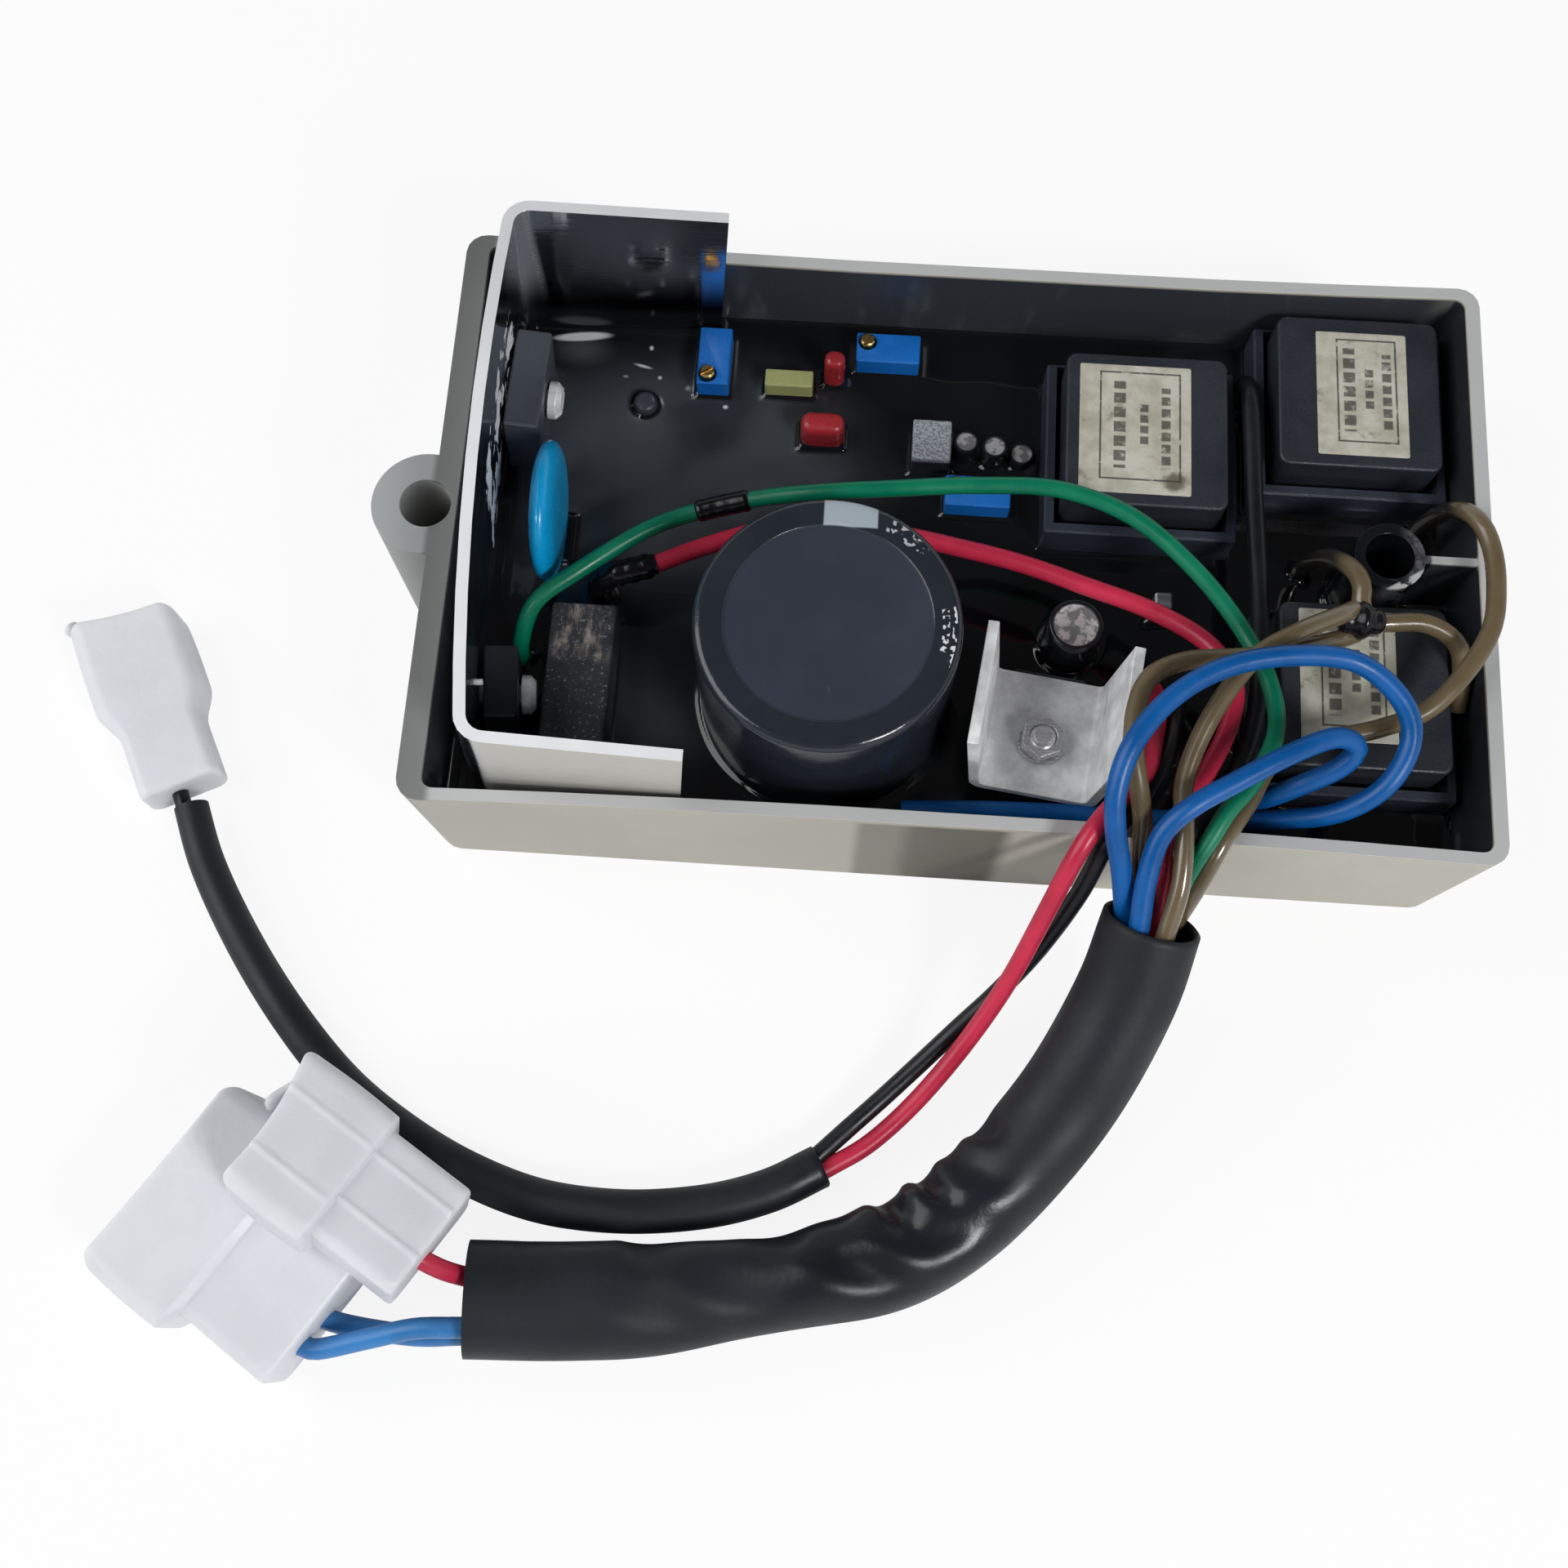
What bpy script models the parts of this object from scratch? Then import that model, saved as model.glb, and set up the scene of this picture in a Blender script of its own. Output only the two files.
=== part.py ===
"""Automatic voltage regulator: a potted circuit board in a moulded tray, with its wires and connectors.

Everything is in metres. The tray's own frame has its origin in the middle of the tray's underside,
+X along the tray and +Z up. The empty tray_frame carries that frame, a little off the world's origin.
"""
import math

import bmesh
import bpy
from mathutils import Vector

# Tray
TRAY_LENGTH = 0.147
TRAY_WIDTH = 0.0865
TRAY_HEIGHT = 0.0285
OUTER_DRAFT = 0.001
CAVITY_DRAFT = 0.0005
RIM_BOW = 0.001
LONG_WALL = 0.0018
RIGHT_WALL = 0.002
LEFT_WALL = 0.0034
FLOOR = 0.0025
OUTER_CORNER = 0.003
INNER_CORNER = 0.0015
REST_HEIGHT = 0.0015
REST_SIZE = 0.006
EAR_OUT = 0.001
EAR_Y = -0.0003
EAR_RADIUS = 0.0076
EAR_HOLE = 0.0072
BOSS_FROM_END = 0.0122
BOSS_Y = 0.0002
BOSS_RADIUS = 0.0049
BOSS_HOLE = 0.0068
RIB = 0.0012
RIB_DROP = 0.0004

# Inside faces of the tray's walls, which places on the board are measured from
INNER_LEFT = -TRAY_LENGTH / 2 + LEFT_WALL
INNER_RIGHT = TRAY_LENGTH / 2 - RIGHT_WALL
INNER_BACK = TRAY_WIDTH / 2 - LONG_WALL
INNER_FRONT = -INNER_BACK
MIDDLE_X = (INNER_LEFT + INNER_RIGHT) / 2
BOSS_X = INNER_RIGHT - BOSS_FROM_END

# Board and potting
GAP = 0.0003
BOARD = 0.0016
BOARD_EDGE = 0.0005
POTTING_TOP = 0.0135

# Leaning heat sink bracket: the sheet's middle line at its top edge
SHEET = 0.0016
BRACKET_TOP = 0.044
BRACKET_SEAT = 0.0002
BRACKET_LEAN = math.radians(4.2)
BRACKET_BEND = 0.003
WEB_FROM_END = 0.0057
WEB_SKEW = 0.0019
WEB_BOW = 0.0019
ARM_LENGTH = 0.0299
ARM_FROM_WALL = 0.00235
ARM_SPLAY_BACK = 0.0012
ARM_SPLAY_FRONT = 0.0003
ARM_BACK_Y = INNER_BACK - ARM_FROM_WALL
ARM_FRONT_Y = INNER_FRONT + ARM_FROM_WALL
WEB_BACK = (INNER_LEFT + WEB_FROM_END, ARM_BACK_Y - ARM_SPLAY_BACK)
WEB_FRONT = (WEB_BACK[0] + WEB_SKEW, ARM_FRONT_Y + ARM_SPLAY_FRONT)
ARM_END_X = WEB_BACK[0] + ARM_LENGTH

# Power devices on the bracket: rise of the lower end above the board, width, height, thickness
POWER_TRANSISTOR = (0.0009, 0.0155, 0.020, 0.005)
THYRISTOR = (0.0049, 0.0104, 0.015, 0.0046)
POWER_TRANSISTOR_Y = 0.0213
THYRISTOR_FROM_ARM = 0.014
DEVICE_HOLE_DROP = 0.006
SCREW_SHANK = 0.003
SCREW_HEAD = 0.0055
SCREW_HEAD_HEIGHT = 0.002
SCREW_CLEARANCE = 0.0008
THERMAL_PAD = 0.0005

# Filter capacitor: from the middle and from the front wall
CAPACITOR_FROM = (-0.0182, 0.02195)
CAPACITOR_PLACE = (MIDDLE_X + CAPACITOR_FROM[0], INNER_FRONT + CAPACITOR_FROM[1])
CAPACITOR_DIAMETER = 0.0352
CAPACITOR_TOP = 0.041
CAPACITOR_SLEEVE_LIP = 0.0035
CAPACITOR_DISC_DROP = 0.0005

# Transformers: middle of the raised core block, in x from the right wall, in y one from the back wall
TRANSFORMER_1 = (0.0451, 0.0194)
TRANSFORMER_2 = (0.0146, 0.01405)
TRANSFORMER_3 = (0.0151, -0.0178)
TRANSFORMER_PLACES = [(INNER_RIGHT - TRANSFORMER_1[0], TRANSFORMER_1[1]),
                      (INNER_RIGHT - TRANSFORMER_2[0], INNER_BACK - TRANSFORMER_2[1]),
                      (INNER_RIGHT - TRANSFORMER_3[0], TRANSFORMER_3[1])]
CORE_WIDTH = 0.0232
CORE_DEPTH = 0.024
CORE_TOP = 0.025
CORE_CORNER = 0.0016
CASE_TOP = 0.020
CASE_SIDE_LIP = 0.0022
CASE_FRONT_LIP = 0.0024
CASE_BACK_LIP = 0.0008
CASE_WALL = 0.0014
CASE_BACK_WALL = 0.0005
CASE_FLOOR = 0.0017

# Trimmers: the first from the middle, the others from the right wall, two from the back wall
TRIMMER_LENGTH = 0.00953
TRIMMER_WIDTH = 0.00483
TRIMMER_TOP = 0.0175
TRIMMER_1 = (-0.0377, 0.00955)
TRIMMER_2 = (0.0825, 0.00665)
TRIMMER_3 = (0.0683, 0.012)
TRIMMER_PLACES = [(MIDDLE_X + TRIMMER_1[0], INNER_BACK - TRIMMER_1[1], True),
                  (INNER_RIGHT - TRIMMER_2[0], INNER_BACK - TRIMMER_2[1], False),
                  (INNER_RIGHT - TRIMMER_3[0], TRIMMER_3[1], False)]
TRIMMER_SCREW = 0.0022
TRIMMER_SCREW_INSET = 0.0016
TRIMMER_SCREW_HEIGHT = 0.0019
TRIMMER_SOCKET_DEPTH = 0.0013
TRIMMER_SLOT = 0.0005

# Upright round parts: place, diameter, top; the small ones' x is from the right wall
SMALL_ELECTROLYTICS = [(0.0703, 0.0197, 0.018), (0.0661, 0.0192, 0.018), (0.0619, 0.0193, 0.016)]
SMALL_ELECTROLYTIC_DIAMETER = 0.0037
ELECTROLYTIC_FROM = (0.0164, 0.03105)
ELECTROLYTIC_PLACE = (MIDDLE_X + ELECTROLYTIC_FROM[0], INNER_FRONT + ELECTROLYTIC_FROM[1])
ELECTROLYTIC_DIAMETER = 0.008
ELECTROLYTIC_TOP = 0.023
POST_FROM_END = 0.0231
POST_Y = 0.0248
POST_DIAMETER = 0.0036
POST_TOP = 0.0155

# Box-shaped parts: x of the middle from a wall or the middle line, y, size x and y, top
BOX_CAPACITOR = (0.0181, 0.020, 0.0092, 0.0215, 0.021)
YELLOW_CAPACITOR = (-0.0263, 0.0291, 0.0072, 0.0028, 0.017)
RED_CAPACITOR_SMALL = (-0.0904, 0.0312, 0.0031, 0.0028, 0.020)
RED_CAPACITOR_LARGE = (-0.0916, 0.0212, 0.0065, 0.0035, 0.019)
OPTOCOUPLER = (-0.0754, 0.0194, 0.0057, 0.0065, 0.0185)
TERMINAL_POST = (-0.0414, -0.0042, 0.0025, 0.0026, 0.019)

# Varistor
VARISTOR_FROM_END = 0.0119
VARISTOR_PLACE = (INNER_LEFT + VARISTOR_FROM_END, 0.0023, 0.0228)
VARISTOR_DIAMETER = 0.020
VARISTOR_THICKNESS = 0.0038
VARISTOR_LEAD = 0.0012
VARISTOR_LEAD_PITCH = 0.0075

# Small heat sink with its transistor
FIN_FROM = (0.0125, 0.01595)
FIN_PLACE = (MIDDLE_X + FIN_FROM[0], INNER_FRONT + FIN_FROM[1])
FIN_TURN = math.radians(-7.5)
FIN_WIDTH = 0.0176
FIN_LENGTH = 0.0175
FIN_PLATE_TOP = 0.0185
FIN_TOP = 0.035
FIN_SHEET = 0.0015
FIN_BEND = 0.0015
FIN_SCREW_Y = -0.0013
FIN_SPLAY_LEFT = 0.0019
FIN_SPLAY_RIGHT = 0.0016
REGULATOR_WIDTH = 0.010
REGULATOR_LENGTH = 0.0142
REGULATOR_THICKNESS = 0.0044
REGULATOR_TAB = 0.0013
REGULATOR_TAB_LENGTH = 0.006
FIN_WASHER = 0.0065
FIN_WASHER_THICKNESS = 0.0005
FIN_NUT = 0.0055
FIN_NUT_HEIGHT = 0.0022

# Wires and sleeves: diameters
GREEN_WIRE = 0.0024
RED_WIRE = 0.0026
BLACK_WIRE = 0.0026
BLUE_WIRE = 0.0028
BROWN_WIRE = 0.0026
RED_SHRINK = 0.0038
MAIN_SLEEVE = 0.014
BRANCH_SLEEVE = 0.006
CORD_STEP = 0.0055

# Connectors: hood width, length and height, neck width, length and height, length of the shoulder
TWO_WAY = (0.0157, 0.0165, 0.009, 0.0118, 0.0118, 0.0074, 0.0030)
FOUR_WAY = (0.0205, 0.016, 0.014, 0.0168, 0.013, 0.012, 0.0010)
SIX_WAY = (0.030, 0.0150, 0.0134, 0.0236, 0.0148, 0.0116, 0.0022)
NYLON_WALL = 0.0012
HOOD_CORNER = 0.002
NECK_CORNER = 0.001
LATCH_LENGTH = 0.005
LATCH_WIDTH = 0.004
LATCH_TURN = math.radians(68)

TRAY_X = (EAR_OUT + EAR_RADIUS) / 2
BOARD_UNDER = FLOOR + REST_HEIGHT + GAP
BOARD_TOP = BOARD_UNDER + BOARD
FOOT = BOARD_TOP + GAP
WEB_REACH = (BRACKET_TOP - FOOT) / math.cos(BRACKET_LEAN)
BRACKET_HEIGHT = WEB_REACH - ARM_LENGTH * math.tan(BRACKET_LEAN) - BRACKET_SEAT

# Route points of the wires, picked by hand in the tray's frame
GREEN_ROUTE = [
    (-0.0609, -0.0170, 0.0144), (-0.0608, -0.0164, 0.0185), (-0.0586, -0.0120, 0.0232),
    (-0.0532, -0.0078, 0.0247), (-0.0440, -0.0010, 0.0252), (-0.0361, 0.0022, 0.0260),
    (-0.0275, 0.0037, 0.0280), (-0.0190, 0.0042, 0.0300), (-0.0089, 0.0049, 0.0310),
    (0.0022, 0.0058, 0.0315), (0.0134, 0.0056, 0.0320), (0.0234, 0.0017, 0.0325),
    (0.0322, -0.0059, 0.0322), (0.0390, -0.0143, 0.0309), (0.0421, -0.0218, 0.0310),
    (0.0421, -0.0283, 0.0320), (0.0390, -0.0350, 0.0332), (0.0360, -0.0392, 0.0337),
    (0.0333, -0.0428, 0.0335), (0.0323, -0.0484, 0.0308), (0.0313, -0.0537, 0.0264)]
RED_MAIN_ROUTE = [
    (-0.0416, -0.0043, 0.0221), (-0.0359, -0.0018, 0.0225), (-0.0270, 0.0014, 0.0228),
    (-0.0180, 0.0022, 0.0232), (-0.0090, 0.0013, 0.0240), (0.0000, -0.0006, 0.0248),
    (0.0088, -0.0028, 0.0255), (0.0178, -0.0061, 0.0265), (0.0268, -0.0094, 0.0270),
    (0.0338, -0.0138, 0.0280), (0.0374, -0.0193, 0.0288), (0.0370, -0.0255, 0.0292),
    (0.0338, -0.0328, 0.0302), (0.0303, -0.0388, 0.0306), (0.0281, -0.0428, 0.0306),
    (0.0278, -0.0475, 0.0291), (0.0276, -0.0521, 0.0255)]
RED_BRANCH_ROUTE = [
    (0.0282, -0.0165, 0.0145), (0.0282, -0.0170, 0.0185), (0.0277, -0.0230, 0.0265),
    (0.0266, -0.0290, 0.0296), (0.0254, -0.0340, 0.0310), (0.0217, -0.0384, 0.0322),
    (0.0186, -0.0424, 0.0328), (0.0162, -0.0465, 0.0310), (0.0139, -0.0515, 0.0250),
    (0.0099, -0.0599, 0.0160), (0.0047, -0.0680, 0.0094), (-0.0014, -0.0757, 0.0052),
    (-0.0074, -0.0817, 0.0036), (-0.0126, -0.0860, 0.0034)]
BLACK_BRANCH_ROUTE = [
    (0.0318, -0.0178, 0.0145), (0.0317, -0.0182, 0.0185), (0.0306, -0.0240, 0.0245),
    (0.0286, -0.0310, 0.0276), (0.0256, -0.0374, 0.0292), (0.0223, -0.0411, 0.0302),
    (0.0201, -0.0446, 0.0299), (0.0180, -0.0492, 0.0236), (0.0140, -0.0550, 0.0160),
    (0.0090, -0.0606, 0.0114), (0.0040, -0.0654, 0.0078), (-0.0016, -0.0710, 0.0052),
    (-0.0060, -0.0754, 0.0040), (-0.0104, -0.0797, 0.0035), (-0.0140, -0.0833, 0.0034)]
BLACK_MAIN_ROUTE = [
    (0.0378, 0.0356, 0.0144), (0.0378, 0.0357, 0.0182), (0.0388, 0.0350, 0.0219),
    (0.0411, 0.0305, 0.0233), (0.0416, 0.0212, 0.0240), (0.0417, 0.0106, 0.0245),
    (0.0419, -0.0021, 0.0253), (0.0419, -0.0123, 0.0260), (0.0410, -0.0228, 0.0270),
    (0.0382, -0.0317, 0.0284), (0.0347, -0.0376, 0.0301), (0.0316, -0.0425, 0.0306),
    (0.0301, -0.0466, 0.0274), (0.0283, -0.0498, 0.0223)]
BLUE_1_ROUTE = [
    (0.0236, -0.0515, 0.0261), (0.0222, -0.0474, 0.0315), (0.0206, -0.0435, 0.0360),
    (0.0202, -0.0390, 0.0394), (0.0219, -0.0336, 0.0415), (0.0267, -0.0273, 0.0415),
    (0.0336, -0.0227, 0.0413), (0.0422, -0.0202, 0.0403), (0.0511, -0.0198, 0.0384),
    (0.0572, -0.0237, 0.0365), (0.0591, -0.0285, 0.0345), (0.0567, -0.0340, 0.0320),
    (0.0515, -0.0370, 0.0280), (0.0442, -0.0376, 0.0230), (0.0363, -0.0376, 0.0190),
    (0.0278, -0.0376, 0.0165), (0.0166, -0.0375, 0.0155), (0.0053, -0.0375, 0.0152),
    (-0.0027, -0.0374, 0.0152)]
BLUE_2_ROUTE = [
    (0.0252, -0.0537, 0.0284), (0.0254, -0.0488, 0.0319), (0.0266, -0.0438, 0.0353),
    (0.0299, -0.0405, 0.0375), (0.0352, -0.0371, 0.0379), (0.0427, -0.0326, 0.0379),
    (0.0488, -0.0296, 0.0365), (0.0522, -0.0299, 0.0340), (0.0506, -0.0320, 0.0315),
    (0.0459, -0.0340, 0.0290), (0.0420, -0.0350, 0.0255), (0.0402, -0.0334, 0.0205),
    (0.0400, -0.0332, 0.0145)]
BROWN_OUTER_ROUTE = [
    (0.0668, 0.0095, 0.0144), (0.0669, 0.0094, 0.0190), (0.0676, 0.0088, 0.0245),
    (0.0687, 0.0076, 0.0290), (0.0703, 0.0048, 0.0318), (0.0717, 0.0006, 0.0324),
    (0.0720, -0.0050, 0.0326), (0.0709, -0.0116, 0.0330), (0.0674, -0.0178, 0.0324),
    (0.0626, -0.0230, 0.0310), (0.0566, -0.0254, 0.0292), (0.0491, -0.0274, 0.0283),
    (0.0426, -0.0309, 0.0283), (0.0391, -0.0369, 0.0299), (0.0356, -0.0425, 0.0308),
    (0.0333, -0.0473, 0.0281), (0.0311, -0.0515, 0.0236)]
BROWN_BRIDGE_ROUTE = [
    (0.0506, 0.0036, 0.0142), (0.0506, 0.0030, 0.0190), (0.0517, 0.0006, 0.0260),
    (0.0534, -0.0030, 0.0305), (0.0542, -0.0060, 0.0318), (0.0543, -0.0090, 0.0312),
    (0.0565, -0.0107, 0.0306), (0.0630, -0.0103, 0.0303), (0.0678, -0.0122, 0.0285),
    (0.0696, -0.0155, 0.0250), (0.0697, -0.0195, 0.0220)]
BROWN_TAPE_1_ROUTE = [
    (0.0520, -0.0104, 0.0330), (0.0504, -0.0115, 0.0340), (0.0439, -0.0154, 0.0364),
    (0.0381, -0.0198, 0.0376), (0.0336, -0.0261, 0.0376), (0.0308, -0.0320, 0.0358),
    (0.0296, -0.0370, 0.0342), (0.0298, -0.0425, 0.0340), (0.0298, -0.0490, 0.0318),
    (0.0287, -0.0546, 0.0285)]
BROWN_TAPE_2_ROUTE = [
    (0.0530, -0.0125, 0.0297), (0.0508, -0.0136, 0.0304), (0.0445, -0.0164, 0.0332),
    (0.0398, -0.0180, 0.0342), (0.0362, -0.0187, 0.0346), (0.0294, -0.0202, 0.0362),
    (0.0246, -0.0233, 0.0376), (0.0227, -0.0283, 0.0376), (0.0226, -0.0336, 0.0376),
    (0.0235, -0.0372, 0.0359), (0.0247, -0.0410, 0.0325), (0.0249, -0.0442, 0.0299),
    (0.0253, -0.0470, 0.0272), (0.0250, -0.0498, 0.0233)]
RED_SHRINK_ROUTE = [
    (-0.0505, -0.0066, 0.0145), (-0.0505, -0.0066, 0.0180), (-0.0485, -0.0063, 0.0212),
    (-0.0450, -0.0055, 0.0219), (-0.0423, -0.0046, 0.0221)]
MAIN_SLEEVE_ROUTE = [
    (0.0274, -0.0528, 0.0250), (0.0252, -0.0614, 0.0187), (0.0201, -0.0724, 0.0122),
    (0.0136, -0.0818, 0.0086), (0.0057, -0.0903, 0.0074), (-0.0029, -0.0962, 0.0072),
    (-0.0136, -0.0998, 0.0072), (-0.0298, -0.1033, 0.0072), (-0.0460, -0.1051, 0.0075),
    (-0.0597, -0.1058, 0.0085)]
BRANCH_SLEEVE_ROUTE = [
    (-0.0140, -0.0851, 0.0034), (-0.0210, -0.0889, 0.0034), (-0.0298, -0.0916, 0.0034),
    (-0.0409, -0.0929, 0.0034), (-0.0523, -0.0922, 0.0034), (-0.0628, -0.0890, 0.0034),
    (-0.0725, -0.0841, 0.0034), (-0.0814, -0.0779, 0.0034), (-0.0901, -0.0692, 0.0034),
    (-0.0981, -0.0591, 0.0036), (-0.1050, -0.0481, 0.0042), (-0.1094, -0.0379, 0.0046)]
BLUE_STUB_1_ROUTE = [
    (-0.0604, -0.1095, 0.0102), (-0.0660, -0.1100, 0.0100), (-0.0720, -0.1116, 0.0092),
    (-0.0788, -0.1134, 0.0080)]
BLUE_STUB_2_ROUTE = [
    (-0.0604, -0.1104, 0.0066), (-0.0660, -0.1109, 0.0055), (-0.0720, -0.1106, 0.0050),
    (-0.0768, -0.1100, 0.0056)]
RED_STUB_ROUTE = [
    (-0.0607, -0.1030, 0.0118), (-0.0619, -0.1030, 0.0123), (-0.0633, -0.1030, 0.0142),
    (-0.0646, -0.1029, 0.0163)]

# Connectors: middle of the wire end, heading, rise towards the mouth, roll
TWO_WAY_PLACE = ((-0.1099, -0.0374, 0.0046), math.radians(117), 0.0, 0.0)
FOUR_WAY_PLACE = ((-0.0639, -0.0995, 0.0176), math.radians(144), math.radians(8), math.radians(18))
SIX_WAY_PLACE = ((-0.0776, -0.1084, 0.0070), math.radians(146.5), 0.0, 0.0)

for leftover in list(bpy.data.objects):
    bpy.data.objects.remove(leftover, do_unlink=True)

part = bpy.data.collections.new("automatic_voltage_regulator")
cutters = bpy.data.collections.new("cutters")
cutters.hide_render = True
for group in (part, cutters):
    bpy.context.scene.collection.children.link(group)


def material(name, colour, roughness, metallic=0.0):
    made = bpy.data.materials.new(name)
    made.use_nodes = True
    shader = made.node_tree.nodes["Principled BSDF"]
    shader.inputs["Base Color"].default_value = (*colour, 1.0)
    shader.inputs["Roughness"].default_value = roughness
    shader.inputs["Metallic"].default_value = metallic
    return made


TRAY_PLASTIC = material("tray_plastic", (0.40, 0.40, 0.38), 0.5)
BOARD_LAMINATE = material("board_laminate", (0.05, 0.16, 0.07), 0.4)
POTTING = material("potting_resin", (0.004, 0.005, 0.007), 0.08)
ALUMINIUM = material("aluminium_sheet", (0.60, 0.62, 0.65), 0.3, 1.0)
STEEL = material("steel_fastener", (0.62, 0.62, 0.62), 0.3, 1.0)
BRASS = material("brass_screw", (0.60, 0.40, 0.16), 0.35, 1.0)
BLACK_PLASTIC = material("black_plastic", (0.012, 0.012, 0.014), 0.45)
CAPACITOR_SLEEVE = material("capacitor_sleeve", (0.015, 0.018, 0.024), 0.3)
CASE_PLASTIC = material("transformer_plastic", (0.030, 0.036, 0.050), 0.4)
TRIMMER_BLUE = material("trimmer_blue", (0.012, 0.140, 0.560), 0.35)
VARISTOR_BLUE = material("varistor_blue", (0.010, 0.270, 0.620), 0.3)
FILM_YELLOW = material("film_yellow", (0.480, 0.410, 0.080), 0.45)
FILM_RED = material("film_red", (0.390, 0.040, 0.060), 0.35)
CHIP_GREY = material("chip_grey", (0.300, 0.300, 0.320), 0.5)
TIN = material("tinned_metal", (0.500, 0.500, 0.520), 0.35, 1.0)
GREEN_PVC = material("wire_green", (0.006, 0.250, 0.125), 0.35)
RED_PVC = material("wire_red", (0.560, 0.035, 0.080), 0.35)
BLACK_PVC = material("wire_black", (0.014, 0.015, 0.018), 0.4)
BLUE_PVC = material("wire_blue", (0.015, 0.130, 0.560), 0.35)
BROWN_PVC = material("wire_brown", (0.160, 0.120, 0.075), 0.35)
SLEEVE_PVC = material("sleeve_black", (0.018, 0.020, 0.023), 0.5)
NYLON = material("nylon_white", (0.690, 0.700, 0.730), 0.45)


def empty(name, location, turn, parent=None):
    made = bpy.data.objects.new(name, None)
    made.location = location
    made.rotation_euler = turn
    made.parent = parent
    part.objects.link(made)
    return made


TRAY_FRAME = empty("tray_frame", (TRAY_X, 0.0, 0.0), (0.0, 0.0, 0.0))
BRACKET_FRAME = empty("bracket_frame", (WEB_BACK[0], 0.0, BRACKET_TOP), (0.0, BRACKET_LEAN, 0.0),
                      TRAY_FRAME)
FIN_FRAME = empty("fin_frame", (*FIN_PLACE, 0.0), (0.0, 0.0, FIN_TURN), TRAY_FRAME)
FIN_SCREW_FRAME = empty("fin_screw_frame", (0.0, FIN_SCREW_Y, 0.0), (0.0, 0.0, 0.0), FIN_FRAME)


def add(name, data, finish=None, location=(0, 0, 0), turn=(0, 0, 0), parent=None):
    """Put a mesh or curve in the part, or with no finish among the cutters."""
    made = bpy.data.objects.new(name, data)
    made.location = location
    made.rotation_euler = turn
    made.parent = parent or TRAY_FRAME
    if finish:
        data.materials.append(finish)
        part.objects.link(made)
    else:
        made.display_type = "WIRE"
        cutters.objects.link(made)
    return made


def mesh_from(name, build):
    """Make a mesh by letting build work on a bmesh."""
    bm = bmesh.new()
    build(bm)
    bmesh.ops.recalc_face_normals(bm, faces=bm.faces)
    mesh = bpy.data.meshes.new(name)
    bm.to_mesh(mesh)
    bm.free()
    return mesh


def block(name, size, finish=None, **place):
    def build(bm):
        bmesh.ops.create_cube(bm, size=1.0)
        bmesh.ops.scale(bm, vec=size, verts=bm.verts)
    return add(name, mesh_from(name, build), finish, **place)


def upright_block(name, x, y, width, depth, low, high, finish=None, **place):
    centre = (x, y, (low + high) / 2)
    return block(name, (width, depth, high - low), finish, location=centre, **place)


def drum(name, radius, length, finish=None, sides=24, **place):
    def build(bm):
        bmesh.ops.create_cone(bm, cap_ends=True, segments=sides, radius1=radius, radius2=radius,
                              depth=length)
    return add(name, mesh_from(name, build), finish, **place)


def upright_drum(name, x, y, radius, low, high, finish=None, sides=24, **place):
    centre = (x, y, (low + high) / 2)
    return drum(name, radius, high - low, finish, sides, location=centre, **place)


def prism(name, low_outline, low, high_outline, high, finish=None, **place):
    """Extrude a flat outline upwards and move its top to a second outline, for a drafted wall."""
    def build(bm):
        base = [bm.verts.new((x, y, low)) for x, y in low_outline]
        face = bm.faces.new(base)
        raised = bmesh.ops.extrude_face_region(bm, geom=[face])["geom"]
        tops = [item for item in raised if isinstance(item, bmesh.types.BMVert)]
        for vert in tops:
            at = min(range(len(base)), key=lambda k: (base[k].co - vert.co).length)
            vert.co = (*high_outline[at], high)
    return add(name, mesh_from(name, build), finish, **place)


def turned(name, profile, finish, sides=24, **place):
    """Revolve a profile of radius and height, listed from the top down, with a Screw modifier."""
    def build(bm):
        points = [bm.verts.new((radius, 0.0, height)) for radius, height in profile]
        for start, end in zip(points, points[1:]):
            bm.edges.new((start, end))
    made = add(name, mesh_from(name, build), finish, **place)
    screw = made.modifiers.new("screw", "SCREW")
    screw.steps = sides
    screw.render_steps = sides
    screw.use_merge_vertices = True
    screw.merge_threshold = 0.00001
    return made


def folded_sheet(name, line, depth, thickness, finish=None, **place):
    """Extrude a line of x and y downwards by depth and give it thickness, like a folded sheet."""
    def build(bm):
        points = [bm.verts.new((x, y, 0.0)) for x, y in line]
        edges = [bm.edges.new(pair) for pair in zip(points, points[1:])]
        hung = bmesh.ops.extrude_edge_only(bm, edges=edges)["geom"]
        verts = [item for item in hung if isinstance(item, bmesh.types.BMVert)]
        bmesh.ops.translate(bm, vec=(0.0, 0.0, -depth), verts=verts)
    made = add(name, mesh_from(name, build), finish, **place)
    solid = made.modifiers.new("sheet", "SOLIDIFY")
    solid.thickness = thickness
    solid.offset = 0.0
    solid.use_even_offset = True
    return made


def boolean(target, tool, operation):
    change = target.modifiers.new(tool.name, "BOOLEAN")
    change.operation = operation
    change.solver = "EXACT"
    change.object = tool


def cut(target, *tools):
    for tool in tools:
        boolean(target, tool, "DIFFERENCE")


def join(target, *tools):
    for tool in tools:
        boolean(target, tool, "UNION")


def bevel(target, width, segments=2, angle=30):
    rounding = target.modifiers.new("bevel", "BEVEL")
    rounding.width = width
    rounding.segments = segments
    rounding.limit_method = "ANGLE"
    rounding.angle_limit = math.radians(angle)


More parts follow.
